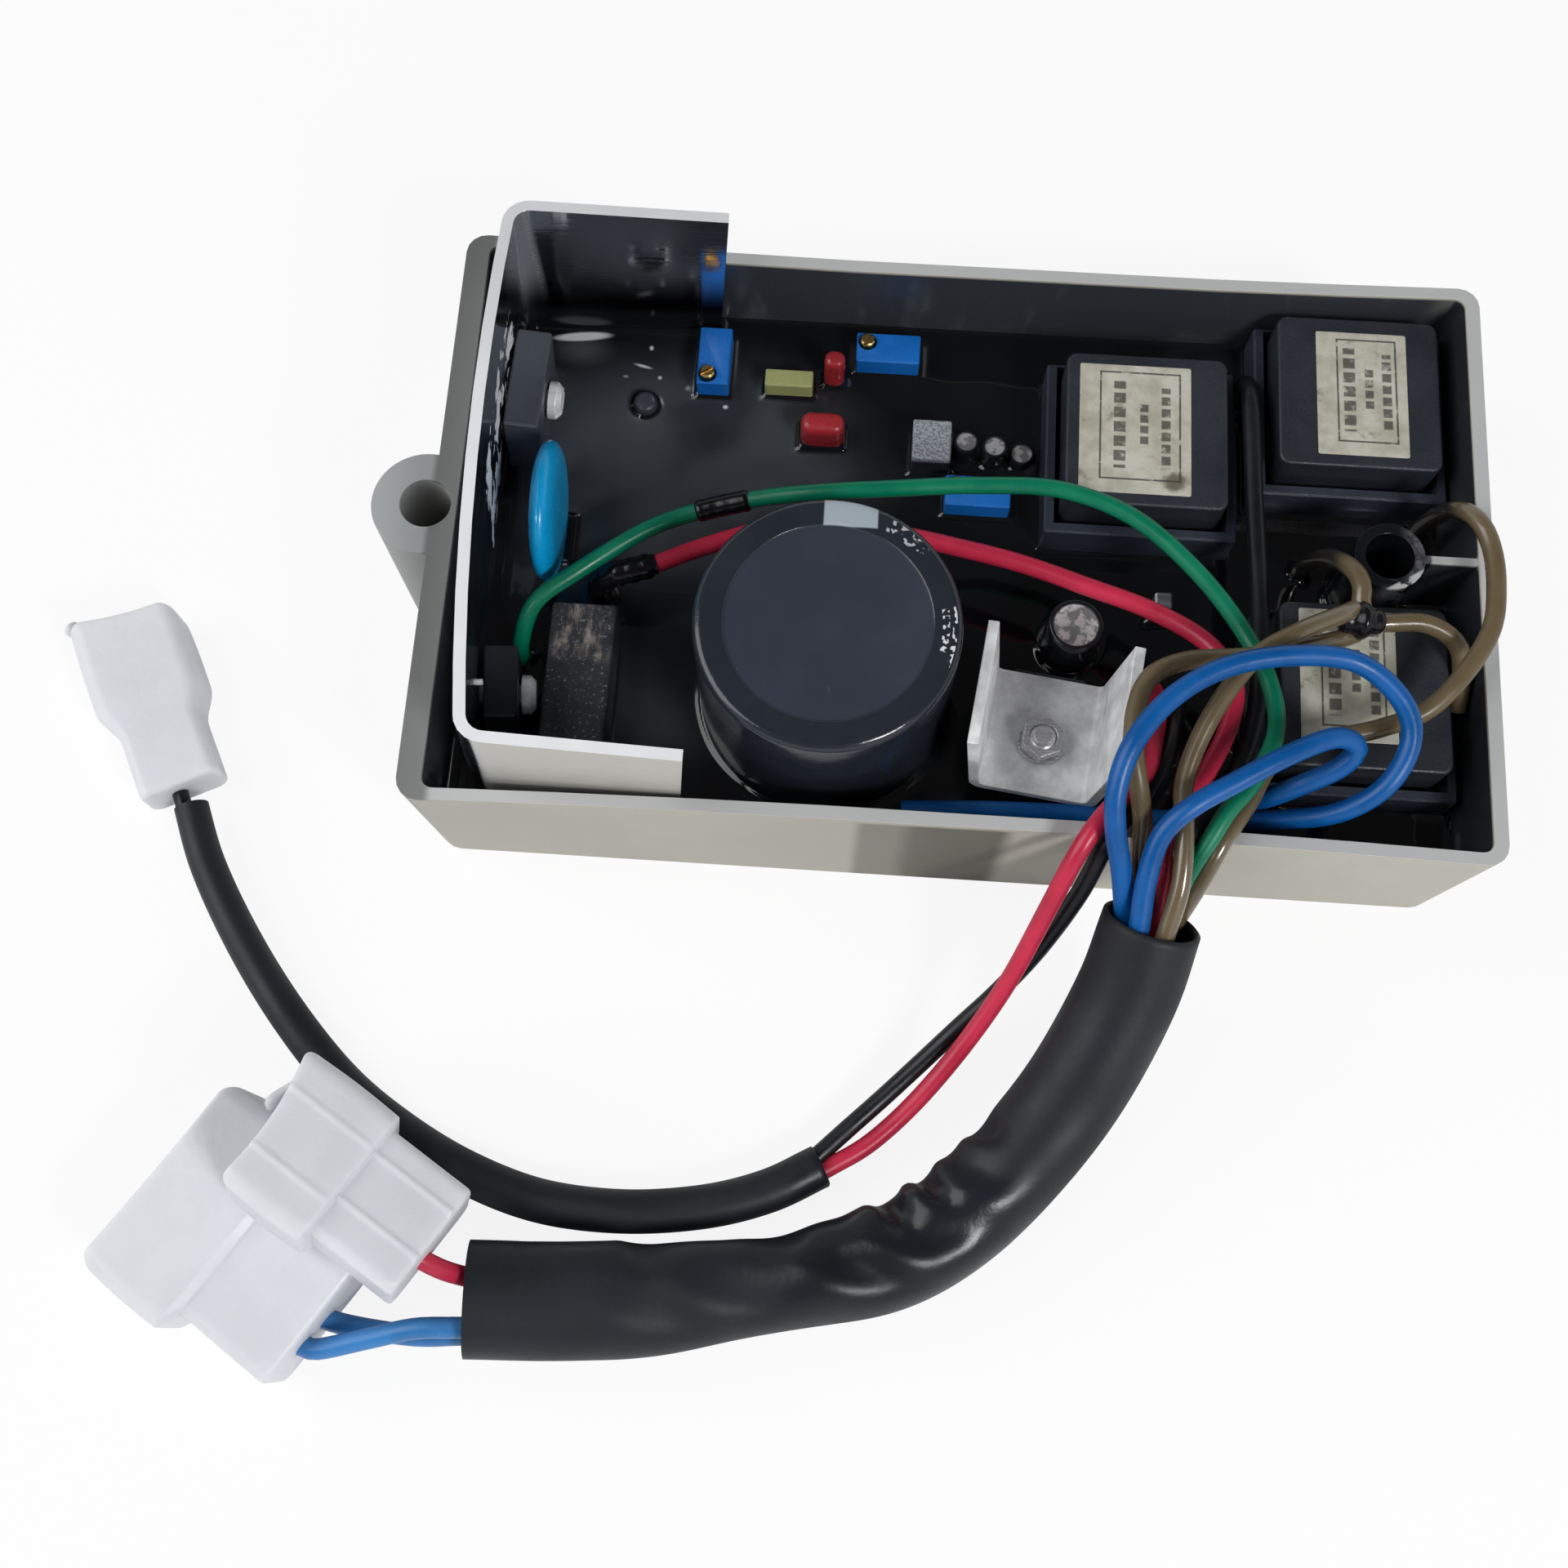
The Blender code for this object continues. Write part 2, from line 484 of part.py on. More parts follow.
def outline(left, right, front, back, radius, bow=0.0, arc=4, spans=8):
    """Rounded rectangle, counter-clockwise; bow draws the long sides in at mid-length."""
    corners = [(right - radius, front + radius), (right - radius, back - radius),
               (left + radius, back - radius), (left + radius, front + radius)]
    points = []
    for turn, (x, y) in enumerate(corners):
        for step in range(arc + 1):
            angle = math.radians(90 * (turn - 1) + 90 * step / arc)
            points.append((x + radius * math.cos(angle), y + radius * math.sin(angle)))
        if bow and turn in (1, 3):
            ahead = corners[(turn + 1) % 4][0]
            side = back if turn == 1 else front
            points += [(x + (ahead - x) * step / spans, side) for step in range(1, spans)]
    half = (right - left) / 2
    middle = (right + left) / 2
    share = [1 - ((x - middle) / half) ** 2 for x, y in points]
    return [(x, y - math.copysign(bow * part_of, y)) for (x, y), part_of in zip(points, share)]


def tray_outline(z):
    inset = OUTER_DRAFT * (1 - z / TRAY_HEIGHT)
    half_x = TRAY_LENGTH / 2 - inset
    half_y = TRAY_WIDTH / 2 - inset
    return outline(-half_x, half_x, -half_y, half_y, OUTER_CORNER, RIM_BOW * z / TRAY_HEIGHT + 1e-6)


def cavity_outline(z, gap=0.0):
    inset = CAVITY_DRAFT * (1 - z / TRAY_HEIGHT) + gap
    half_y = TRAY_WIDTH / 2 - LONG_WALL - inset
    left = -TRAY_LENGTH / 2 + LEFT_WALL + inset
    right = TRAY_LENGTH / 2 - RIGHT_WALL - inset
    return outline(left, right, -half_y, half_y, INNER_CORNER, RIM_BOW * z / TRAY_HEIGHT + 1e-6)


def tray():
    """Drafted shell with an ear post, a hollow boss, its rib and four board rests."""
    ear_x = -TRAY_LENGTH / 2 - EAR_OUT
    over = 0.001
    body = prism("tray", tray_outline(0), 0.0, tray_outline(TRAY_HEIGHT), TRAY_HEIGHT, TRAY_PLASTIC)
    ear = upright_drum("ear_post", ear_x, EAR_Y, EAR_RADIUS, 0.0, TRAY_HEIGHT, sides=48,
                       turn=(0.0, 0.0, math.pi / 48))
    cavity = prism("tray_cavity", cavity_outline(FLOOR), FLOOR, cavity_outline(TRAY_HEIGHT + over),
                   TRAY_HEIGHT + over)
    boss = upright_drum("boss_post", BOSS_X, BOSS_Y, BOSS_RADIUS, FLOOR / 2, TRAY_HEIGHT, sides=32)
    rib_end = TRAY_LENGTH / 2 - RIGHT_WALL / 2
    rib = upright_block("boss_rib", (BOSS_X + rib_end) / 2, BOSS_Y, rib_end - BOSS_X, RIB, FLOOR / 2,
                        TRAY_HEIGHT - RIB_DROP)
    join(body, ear)
    cut(body, cavity)
    join(body, boss, rib)
    for side_x in (-1, 1):
        for side_y in (-1, 1):
            x = side_x * (TRAY_LENGTH / 2 - LEFT_WALL - REST_SIZE)
            y = side_y * (TRAY_WIDTH / 2 - LONG_WALL - REST_SIZE / 2 - CAVITY_DRAFT - RIM_BOW)
            rest = upright_block(f"rest_{side_x}_{side_y}", x, y, REST_SIZE, REST_SIZE, FLOOR / 2,
                                 FLOOR + REST_HEIGHT)
            join(body, rest)
    holes = [("ear_hole", ear_x, EAR_Y, EAR_HOLE), ("boss_hole", BOSS_X, BOSS_Y, BOSS_HOLE)]
    for name, x, y, across in holes:
        cut(body, upright_drum(name, x, y, across / 2, -over, TRAY_HEIGHT + over, sides=32))


def boss_clearance(name, low, high, gap):
    """Cutters that let a board or the potting pass round the boss and its rib."""
    rib_end = TRAY_LENGTH / 2
    post = upright_drum(f"{name}_boss", BOSS_X, BOSS_Y, BOSS_RADIUS + gap, low, high, sides=32)
    rib = upright_block(f"{name}_rib", (BOSS_X + rib_end) / 2, BOSS_Y, rib_end - BOSS_X,
                        RIB + 2 * gap, low, high)
    return post, rib


def circuit_board():
    edge = cavity_outline(BOARD_UNDER, BOARD_EDGE)
    board = prism("circuit_board", edge, BOARD_UNDER, edge, BOARD_TOP, BOARD_LAMINATE)
    cut(board, *boss_clearance("board", BOARD_UNDER - GAP, BOARD_TOP + GAP, BOARD_EDGE))


POCKET_LOW = BOARD_TOP
POCKET_HIGH = POTTING_TOP + 0.001


def pocket_block(name, x, y, width, depth, **place):
    """Clear a footprint through the potting."""
    return upright_block(f"{name}_pocket", x, y, width + 2 * GAP, depth + 2 * GAP, POCKET_LOW,
                         POCKET_HIGH, **place)


def pocket_drum(name, x, y, radius, sides=24, **place):
    return upright_drum(f"{name}_pocket", x, y, radius + GAP, POCKET_LOW, POCKET_HIGH, sides=sides,
                        **place)


def potting_compound(pockets):
    low = cavity_outline(FOOT, GAP)
    high = cavity_outline(POTTING_TOP, GAP)
    fill = prism("potting_compound", low, FOOT, high, POTTING_TOP, POTTING)
    cut(fill, *boss_clearance("potting", POCKET_LOW, POCKET_HIGH, GAP))
    cut(fill, *pockets)


def web_x(y):
    """Middle line of the bowed web at the bracket's top edge, in the bracket's frame."""
    share = (WEB_BACK[1] - y) / (WEB_BACK[1] - WEB_FRONT[1])
    return (WEB_FRONT[0] - WEB_BACK[0]) * share - 4 * WEB_BOW * share * (1 - share)


def web_turn(y, step=0.001):
    """Angle of the web about Z, from the line's slope."""
    return -math.atan((web_x(y + step) - web_x(y - step)) / (2 * step))


def rounded_line(points, radius, arc=5):
    """Replace each inner corner of a line by an arc of the given radius."""
    line = [Vector(points[0])]
    for before, corner, after in zip(points, points[1:], points[2:]):
        corner = Vector(corner)
        back = (Vector(before) - corner).normalized()
        ahead = (Vector(after) - corner).normalized()
        half = back.angle(ahead) / 2
        if half > math.radians(80):
            line.append(corner)
            continue
        centre = corner + (back + ahead).normalized() * radius / math.sin(half)
        first = corner + back * radius / math.tan(half) - centre
        last = corner + ahead * radius / math.tan(half) - centre
        for step in range(arc + 1):
            spoke = first.lerp(last, step / arc).normalized() * radius
            line.append(centre + spoke)
    line.append(Vector(points[-1]))
    return [tuple(point) for point in line]


def bracket_line(arm_extra=0.0):
    count = 8
    ys = [WEB_BACK[1] + (WEB_FRONT[1] - WEB_BACK[1]) * k / count for k in range(count + 1)]
    web = [(web_x(y), y) for y in ys]
    end = ARM_END_X - WEB_BACK[0] + arm_extra
    return rounded_line([(end, ARM_BACK_Y), *web, (end, ARM_FRONT_Y)], BRACKET_BEND)


def power_device(name, y, sizes):
    """A moulded device flat on the web, with its screw into the web; +X of its frame points inwards."""
    rise, width, height, thickness = sizes
    drop = WEB_REACH - rise - height
    frame = empty(f"{name}_frame", (web_x(y), y, -drop), (0, 0, web_turn(y)), BRACKET_FRAME)
    back = SHEET / 2 + THERMAL_PAD
    front = back + thickness
    centre = ((back + front) / 2, 0, -height / 2)
    body = block(name, (thickness, width, height), BLACK_PLASTIC, location=centre, parent=frame)
    bevel(body, 0.0003, 1)
    hole = drum(f"{name}_hole", (SCREW_SHANK + SCREW_CLEARANCE) / 2, front + SHEET + GAP, sides=16,
                location=((front - SHEET) / 2, 0, -DEVICE_HOLE_DROP), turn=(0, math.pi / 2, 0),
                parent=frame)
    cut(body, hole)
    pocket = block(f"{name}_pocket", (thickness + 2 * GAP, width + 2 * GAP, height + 2 * GAP),
                   location=centre, parent=frame)
    shank = front + GAP + SHEET / 2
    head = SCREW_HEAD / 2
    profile = [(0, SCREW_HEAD_HEIGHT), (head * 0.7, SCREW_HEAD_HEIGHT), (head, SCREW_HEAD_HEIGHT * 0.6),
               (head, 0), (SCREW_SHANK / 2, 0), (SCREW_SHANK / 2, -shank), (0, -shank)]
    screw = turned(f"{name}_screw", profile, STEEL, 20, location=(front + GAP, 0, -DEVICE_HOLE_DROP),
                   turn=(0, math.pi / 2, 0), parent=frame)
    slot = block(f"{name}_slot", (0.0016, 2 * SCREW_HEAD, 0.0007), parent=frame,
                 location=(front + GAP + SCREW_HEAD_HEIGHT, 0, -DEVICE_HOLE_DROP))
    cut(screw, slot)
    return hole, pocket


def heat_sink_bracket():
    sheet = folded_sheet("heat_sink_bracket", bracket_line(), BRACKET_HEIGHT, SHEET, ALUMINIUM,
                         parent=BRACKET_FRAME)
    room = folded_sheet("bracket_pocket", bracket_line(GAP), BRACKET_TOP, SHEET + 2 * GAP,
                        parent=BRACKET_FRAME)
    pockets = [room]
    for name, y, sizes in (("power_transistor", POWER_TRANSISTOR_Y, POWER_TRANSISTOR),
                           ("thyristor", ARM_FRONT_Y + THYRISTOR_FROM_ARM, THYRISTOR)):
        hole, pocket = power_device(name, y, sizes)
        cut(sheet, hole)
        pockets.append(pocket)
    return pockets


def filter_capacitor():
    x, y = CAPACITOR_PLACE
    radius = CAPACITOR_DIAMETER / 2
    disc = radius - CAPACITOR_SLEEVE_LIP
    top = CAPACITOR_TOP
    profile = [(0, top - CAPACITOR_DISC_DROP), (disc, top - CAPACITOR_DISC_DROP), (disc + 0.0003, top),
               (radius - 0.0012, top), (radius - 0.0004, top - 0.0004), (radius, top - 0.0013),
               (radius, FOOT), (0, FOOT)]
    turned("filter_capacitor", profile, CAPACITOR_SLEEVE, 48, location=(x, y, 0))
    return [pocket_drum("filter_capacitor", x, y, radius, 48)]


def rounded_block(name, x, y, width, depth, low, high, corner, finish, top_edge=0.0004):
    shape = outline(x - width / 2, x + width / 2, y - depth / 2, y + depth / 2, corner, arc=3)
    smaller = outline(x - width / 2 + top_edge, x + width / 2 - top_edge, y - depth / 2 + top_edge,
                      y + depth / 2 - top_edge, max(corner - top_edge, 0.0001), arc=3)
    body = prism(name, shape, low, shape, high - top_edge, finish)
    crown = prism(f"{name}_crown", shape, high - top_edge, smaller, high)
    join(body, crown)
    return body


def transformer(number, x, y):
    """A cored block standing in an open case, with a groove between them."""
    left = x - CORE_WIDTH / 2 - CASE_SIDE_LIP
    right = x + CORE_WIDTH / 2 + CASE_SIDE_LIP
    front = y - CORE_DEPTH / 2 - CASE_FRONT_LIP
    back = y + CORE_DEPTH / 2 + CASE_BACK_LIP
    middle = ((left + right) / 2, (front + back) / 2)
    case = upright_block(f"transformer_case_{number}", *middle, right - left, back - front, FOOT,
                         CASE_TOP, CASE_PLASTIC)
    bevel(case, 0.0003, 1)
    inner_front = front + CASE_WALL
    inner_back = back - CASE_BACK_WALL
    room = upright_block(f"case_room_{number}", middle[0], (inner_front + inner_back) / 2,
                         right - left - 2 * CASE_WALL, inner_back - inner_front, FOOT + CASE_FLOOR,
                         CASE_TOP + GAP)
    cut(case, room)
    rounded_block(f"transformer_core_{number}", x, y, CORE_WIDTH, CORE_DEPTH,
                  FOOT + CASE_FLOOR + GAP, CORE_TOP, CORE_CORNER, CASE_PLASTIC)
    return pocket_block(f"transformer_{number}", *middle, right - left, back - front)


def trimmer(number, x, y, quarter):
    """A multi-turn trimmer and its brass adjusting screw in a socket at one corner of the top."""
    along, across = (TRIMMER_LENGTH, TRIMMER_WIDTH)
    width, depth = (across, along) if quarter else (along, across)
    body = upright_block(f"trimmer_{number}", x, y, width, depth, FOOT, TRIMMER_TOP, TRIMMER_BLUE)
    bevel(body, 0.0002, 1)
    inset_along = along / 2 - TRIMMER_SCREW_INSET
    inset_across = across / 2 - TRIMMER_SCREW_INSET
    screw_x, screw_y = (x - inset_across, y - inset_along) if quarter else (
        x - inset_along, y + inset_across)
    socket_floor = TRIMMER_TOP - TRIMMER_SOCKET_DEPTH
    socket = upright_drum(f"trimmer_socket_{number}", screw_x, screw_y, TRIMMER_SCREW / 2 + GAP,
                          socket_floor, TRIMMER_TOP + GAP, sides=20)
    cut(body, socket)
    radius = TRIMMER_SCREW / 2
    high = TRIMMER_SCREW_HEIGHT
    profile = [(0, high), (radius - 0.0002, high), (radius, high - 0.0002), (radius, 0), (0, 0)]
    screw = turned(f"trimmer_screw_{number}", profile, BRASS, 20,
                   location=(screw_x, screw_y, socket_floor + GAP))
    slot = block(f"trimmer_slot_{number}", (TRIMMER_SCREW * 1.2, TRIMMER_SLOT, 2 * TRIMMER_SLOT),
                 location=(screw_x, screw_y, socket_floor + GAP + high), turn=(0, 0, 0.6 * number))
    cut(screw, slot)
    return pocket_block(f"trimmer_{number}", x, y, width, depth)


def can_profile(diameter, low, high):
    """Electrolytic can: rolled top edge, vent disc a little below it, bead near the foot."""
    radius = diameter / 2
    rim = 0.0003
    return [(0, high - rim), (radius * 0.78, high - rim), (radius * 0.82, high), (radius * 0.94, high),
            (radius, high - 2 * rim), (radius, low), (0, low)]


def electrolytics():
    x, y = ELECTROLYTIC_PLACE
    turned("electrolytic_capacitor", can_profile(ELECTROLYTIC_DIAMETER, FOOT, ELECTROLYTIC_TOP),
           BLACK_PLASTIC, 28, location=(x, y, 0))
    pockets = [pocket_drum("electrolytic_capacitor", x, y, ELECTROLYTIC_DIAMETER / 2, 28)]
    for number, (from_end, y, top) in enumerate(SMALL_ELECTROLYTICS, 1):
        x = INNER_RIGHT - from_end
        name = f"small_electrolytic_{number}"
        turned(name, can_profile(SMALL_ELECTROLYTIC_DIAMETER, FOOT, top), BLACK_PLASTIC, 16,
               location=(x, y, 0))
        pockets.append(pocket_drum(name, x, y, SMALL_ELECTROLYTIC_DIAMETER / 2, 16))
    x, y = INNER_LEFT + POST_FROM_END, POST_Y
    radius = POST_DIAMETER / 2
    profile = [(0, POST_TOP), (radius * 0.7, POST_TOP), (radius, POST_TOP - 0.0006), (radius, FOOT),
               (0, FOOT)]
    turned("thermistor", profile, BLACK_PLASTIC, 16, location=(x, y, 0))
    pockets.append(pocket_drum("thermistor", x, y, radius, 16))
    return pockets


def box_parts():
    left = (INNER_LEFT, INNER_FRONT)
    middle = (MIDDLE_X, 0.0)
    right = (INNER_RIGHT, 0.0)
    kinds = [("box_capacitor", left, BOX_CAPACITOR, BLACK_PLASTIC, 0.0004, 2),
             ("film_capacitor_yellow", middle, YELLOW_CAPACITOR, FILM_YELLOW, 0.0002, 1),
             ("film_capacitor_red_small", right, RED_CAPACITOR_SMALL, FILM_RED, 0.0009, 3),
             ("film_capacitor_red_large", right, RED_CAPACITOR_LARGE, FILM_RED, 0.0012, 3),
             ("optocoupler", right, OPTOCOUPLER, CHIP_GREY, 0.0003, 1),
             ("terminal_post", right, TERMINAL_POST, TIN, 0.0003, 1)]
    pockets = []
    for name, start, (ahead, across, width, depth, top), finish, edge, segments in kinds:
        x, y = start[0] + ahead, start[1] + across
        body = upright_block(name, x, y, width, depth, FOOT, top, finish)
        bevel(body, edge, segments)
        pockets.append(pocket_block(name, x, y, width, depth))
    return pockets


def varistor():
    """Disc on edge, with two leads down to the board."""
    x, y, z = VARISTOR_PLACE
    radius = VARISTOR_DIAMETER / 2
    half = VARISTOR_THICKNESS / 2
    profile = [(0, half), (radius * 0.7, half), (radius * 0.9, half * 0.8), (radius, half * 0.3),
               (radius, -half * 0.3), (radius * 0.9, -half * 0.8), (radius * 0.7, -half), (0, -half)]
    disc = turned("varistor", profile, VARISTOR_BLUE, 36, location=(x, y, z), turn=(0, math.pi / 2, 0))
    pockets = []
    for side in (-1, 1):
        lead_y = y + side * VARISTOR_LEAD_PITCH / 2
        lead = upright_drum(f"varistor_lead_{side}", x, lead_y, VARISTOR_LEAD / 2, FOOT, z - radius / 2,
                            sides=12)
        join(disc, lead)
        pockets.append(pocket_drum(f"varistor_lead_{side}", x, lead_y, VARISTOR_LEAD / 2, 12))
    nest = drum("varistor_nest", radius + GAP, VARISTOR_THICKNESS + 2 * GAP, sides=36,
                location=(x, y, z), turn=(0, math.pi / 2, 0))
    return pockets + [nest]


def fin_line():
    """The small heat sink's sheet in side view: x across, y up, from one wing's top to the other's."""
    plate = FIN_PLATE_TOP - FIN_SHEET / 2
    half = FIN_WIDTH / 2 - FIN_SHEET / 2
    corners = [(-half - FIN_SPLAY_LEFT, FIN_TOP), (-half, plate), (half, plate),
               (half + FIN_SPLAY_RIGHT, FIN_TOP)]
    return rounded_line(corners, FIN_BEND)


def small_heat_sink():
    """Folded heat sink, the transistor flat under its plate, and the screw, washer and nut."""
    fin = folded_sheet("transistor_heat_sink", fin_line(), FIN_LENGTH, FIN_SHEET, ALUMINIUM,
                       location=(0, -FIN_LENGTH / 2, 0), turn=(math.pi / 2, 0, 0), parent=FIN_FRAME)
    under = FIN_PLATE_TOP - FIN_SHEET - GAP
    hole_radius = (SCREW_SHANK + SCREW_CLEARANCE) / 2
    tab_low = under - REGULATOR_TAB
    head_top = tab_low - GAP
    hole = upright_drum("fin_hole", 0, 0, hole_radius, tab_low - GAP, FIN_PLATE_TOP + GAP, sides=16,
                        parent=FIN_SCREW_FRAME)
    cut(fin, hole)
    tab_end = -REGULATOR_TAB_LENGTH / 2
    body_length = REGULATOR_LENGTH - REGULATOR_TAB_LENGTH
    regulator = upright_block("regulator_transistor", 0, tab_end + REGULATOR_LENGTH / 2,
                              REGULATOR_WIDTH, REGULATOR_LENGTH, tab_low, under, BLACK_PLASTIC,
                              parent=FIN_SCREW_FRAME)
    body_y = tab_end + REGULATOR_TAB_LENGTH + body_length / 2
    moulding = upright_block("regulator_moulding", 0, body_y, REGULATOR_WIDTH, body_length,
                             under - REGULATOR_THICKNESS, under, parent=FIN_SCREW_FRAME)
    join(regulator, moulding)
    cut(regulator, hole)
    nest = upright_block("regulator_nest", 0, body_y, REGULATOR_WIDTH + 2 * GAP, body_length + 2 * GAP,
                         under - REGULATOR_THICKNESS - GAP, under, parent=FIN_SCREW_FRAME)
    washer_top = FIN_PLATE_TOP + GAP + FIN_WASHER_THICKNESS
    washer = upright_drum("fin_washer", 0, 0, FIN_WASHER / 2, FIN_PLATE_TOP + GAP, washer_top, STEEL, 24,
                          parent=FIN_SCREW_FRAME)
    cut(washer, upright_drum("washer_bore", 0, 0, hole_radius, FIN_PLATE_TOP, washer_top + GAP,
                             sides=16, parent=FIN_SCREW_FRAME))
    nut_low = washer_top + GAP
    nut = upright_drum("fin_nut", 0, 0, FIN_NUT / 2 / math.cos(math.pi / 6), nut_low,
                       nut_low + FIN_NUT_HEIGHT, STEEL, 6, parent=FIN_SCREW_FRAME)
    cut(nut, upright_drum("nut_bore", 0, 0, hole_radius, nut_low - GAP, nut_low + FIN_NUT_HEIGHT + GAP,
                          sides=16, parent=FIN_SCREW_FRAME))
    head = SCREW_HEAD / 2
    shank = SCREW_SHANK / 2
    end = nut_low + FIN_NUT_HEIGHT + SCREW_CLEARANCE
    foot = head_top - SCREW_HEAD_HEIGHT
    profile = [(0, end), (shank - 0.0003, end), (shank, end - 0.0003), (shank, head_top),
               (head, head_top), (head, foot), (0, foot)]
    turned("fin_screw", profile, STEEL, 20, parent=FIN_SCREW_FRAME)
    head_nest = upright_drum("fin_screw_nest", 0, 0, head + GAP, foot - GAP, POCKET_HIGH, sides=20,
                             parent=FIN_SCREW_FRAME)
    return [nest, head_nest]


def smooth(route, spacing):
    """Catmull-Rom curve through the route's points, read off at an even spacing."""
    points = [Vector(point) for point in route]
    points = [2 * points[0] - points[1], *points, 2 * points[-1] - points[-2]]
    fine = []
    for a, b, c, d in zip(points, points[1:], points[2:], points[3:]):
        for step in range(12):
            t = step / 12
            fine.append(0.5 * (2 * b + (c - a) * t + (2 * a - 5 * b + 4 * c - d) * t ** 2
                               + (3 * b - a - 3 * c + d) * t ** 3))
    fine.append(points[-2])
    lengths = [0.0]
    for start, end in zip(fine, fine[1:]):
        lengths.append(lengths[-1] + (end - start).length)
    count = max(2, round(lengths[-1] / spacing))
    even = []
    for step in range(count + 1):
        want = lengths[-1] * step / count
        at = next((k for k in range(1, len(fine)) if lengths[k] >= want), len(fine) - 1)
        share = (want - lengths[at - 1]) / (lengths[at] - lengths[at - 1])
        even.append(fine[at - 1].lerp(fine[at], min(share, 1.0)))
    return even


def cord(name, route, diameter, finish, resolution=2):
    curve = bpy.data.curves.new(name, "CURVE")
    curve.dimensions = "3D"
    curve.bevel_depth = diameter / 2
    curve.bevel_resolution = resolution
    curve.use_fill_caps = True
    points = smooth(route, min(2.2 * diameter, CORD_STEP))
    spline = curve.splines.new("POLY")
    spline.points.add(len(points) - 1)
    for point, place in zip(spline.points, points):
        point.co = (*place, 1.0)
    return add(name, curve, finish)


def wires():
    cord("wire_green", GREEN_ROUTE, GREEN_WIRE, GREEN_PVC)
    cord("wire_red_main", RED_MAIN_ROUTE, RED_WIRE, RED_PVC)
    cord("wire_red_branch", RED_BRANCH_ROUTE, RED_WIRE, RED_PVC)
    cord("wire_black_branch", BLACK_BRANCH_ROUTE, BLACK_WIRE, BLACK_PVC)
    cord("wire_black_main", BLACK_MAIN_ROUTE, BLACK_WIRE, BLACK_PVC)
    cord("wire_blue_1", BLUE_1_ROUTE, BLUE_WIRE, BLUE_PVC)
    cord("wire_blue_2", BLUE_2_ROUTE, BLUE_WIRE, BLUE_PVC)
    cord("wire_brown_outer", BROWN_OUTER_ROUTE, BROWN_WIRE, BROWN_PVC)
    cord("wire_brown_bridge", BROWN_BRIDGE_ROUTE, BROWN_WIRE, BROWN_PVC)
    cord("wire_brown_tape_1", BROWN_TAPE_1_ROUTE, BROWN_WIRE, BROWN_PVC)
    cord("wire_brown_tape_2", BROWN_TAPE_2_ROUTE, BROWN_WIRE, BROWN_PVC)
    cord("shrink_sleeve_red", RED_SHRINK_ROUTE, RED_SHRINK, SLEEVE_PVC)
    cord("stub_blue_1", BLUE_STUB_1_ROUTE, BLUE_WIRE, BLUE_PVC)
    cord("stub_blue_2", BLUE_STUB_2_ROUTE, BLUE_WIRE, BLUE_PVC)
    cord("stub_red", RED_STUB_ROUTE, RED_WIRE, RED_PVC)
    cord("sleeve_main", MAIN_SLEEVE_ROUTE, MAIN_SLEEVE, SLEEVE_PVC, 4)
    cord("sleeve_branch", BRANCH_SLEEVE_ROUTE, BRANCH_SLEEVE, SLEEVE_PVC, 3)


def loft(name, rings, finish=None, **place):
    """Skin over a row of rings with as many points each, closed at both ends."""
    def build(bm):
        loops = [[bm.verts.new(point) for point in ring] for ring in rings]
        for near, far in zip(loops, loops[1:]):
            for at in range(len(near)):
                bm.faces.new((near[at - 1], near[at], far[at], far[at - 1]))
        bm.faces.new(loops[0])
        bm.faces.new(loops[-1])
    return add(name, mesh_from(name, build), finish, **place)


def section(along, width, height, corner):
    """Rounded rectangle across a connector's axis, at a place along it."""
    shape = outline(-width / 2, width / 2, -height / 2, height / 2, corner, arc=3)
    return [(along, y, z) for y, z in shape]


def connector(name, sizes, place):
    """Nylon housing along its own +X: a neck at the wire end, a shoulder and an open hood."""
    hood_width, hood_length, hood_height, neck_width, neck_length, neck_height, shoulder = sizes
    location, heading, rise, roll = place
    frame = empty(f"{name}_frame", location, (roll, -rise, heading), TRAY_FRAME)
    total = neck_length + hood_length
    neck = (neck_width, neck_height, NECK_CORNER)
    hood = (hood_width, hood_height, HOOD_CORNER)
    housing = loft(name, [section(0.0, *neck), section(neck_length, *neck),
                          section(neck_length + shoulder, *hood), section(total, *hood)],
                   NYLON, parent=frame)
    wall = 2 * NYLON_WALL
    inside = (hood_width - wall, hood_height - wall, HOOD_CORNER - NYLON_WALL)
    mouth = loft(f"{name}_mouth", [section(neck_length + shoulder + NYLON_WALL, *inside),
                                   section(total + NYLON_WALL, *inside)], parent=frame)
    cut(housing, mouth)
    return housing, frame, total


def latch(housing, name, frame, total, side):
    """Finger that stands out from the wall beside the hood's mouth."""
    reach = LATCH_LENGTH / 2 - NYLON_WALL / 2
    centre = (total - NYLON_WALL + reach * math.cos(LATCH_TURN), side + reach * math.sin(LATCH_TURN), 0)
    join(housing, block(f"{name}_latch", (LATCH_LENGTH, NYLON_WALL, LATCH_WIDTH), location=centre,
                        turn=(0, 0, LATCH_TURN), parent=frame))


def connectors():
    housing, frame, total = connector("connector_two_way", TWO_WAY, TWO_WAY_PLACE)
    latch(housing, "connector_two_way", frame, total, TWO_WAY[0] / 2 - NYLON_WALL / 2)
    connector("connector_four_way", FOUR_WAY, FOUR_WAY_PLACE)
    connector("connector_six_way", SIX_WAY, SIX_WAY_PLACE)


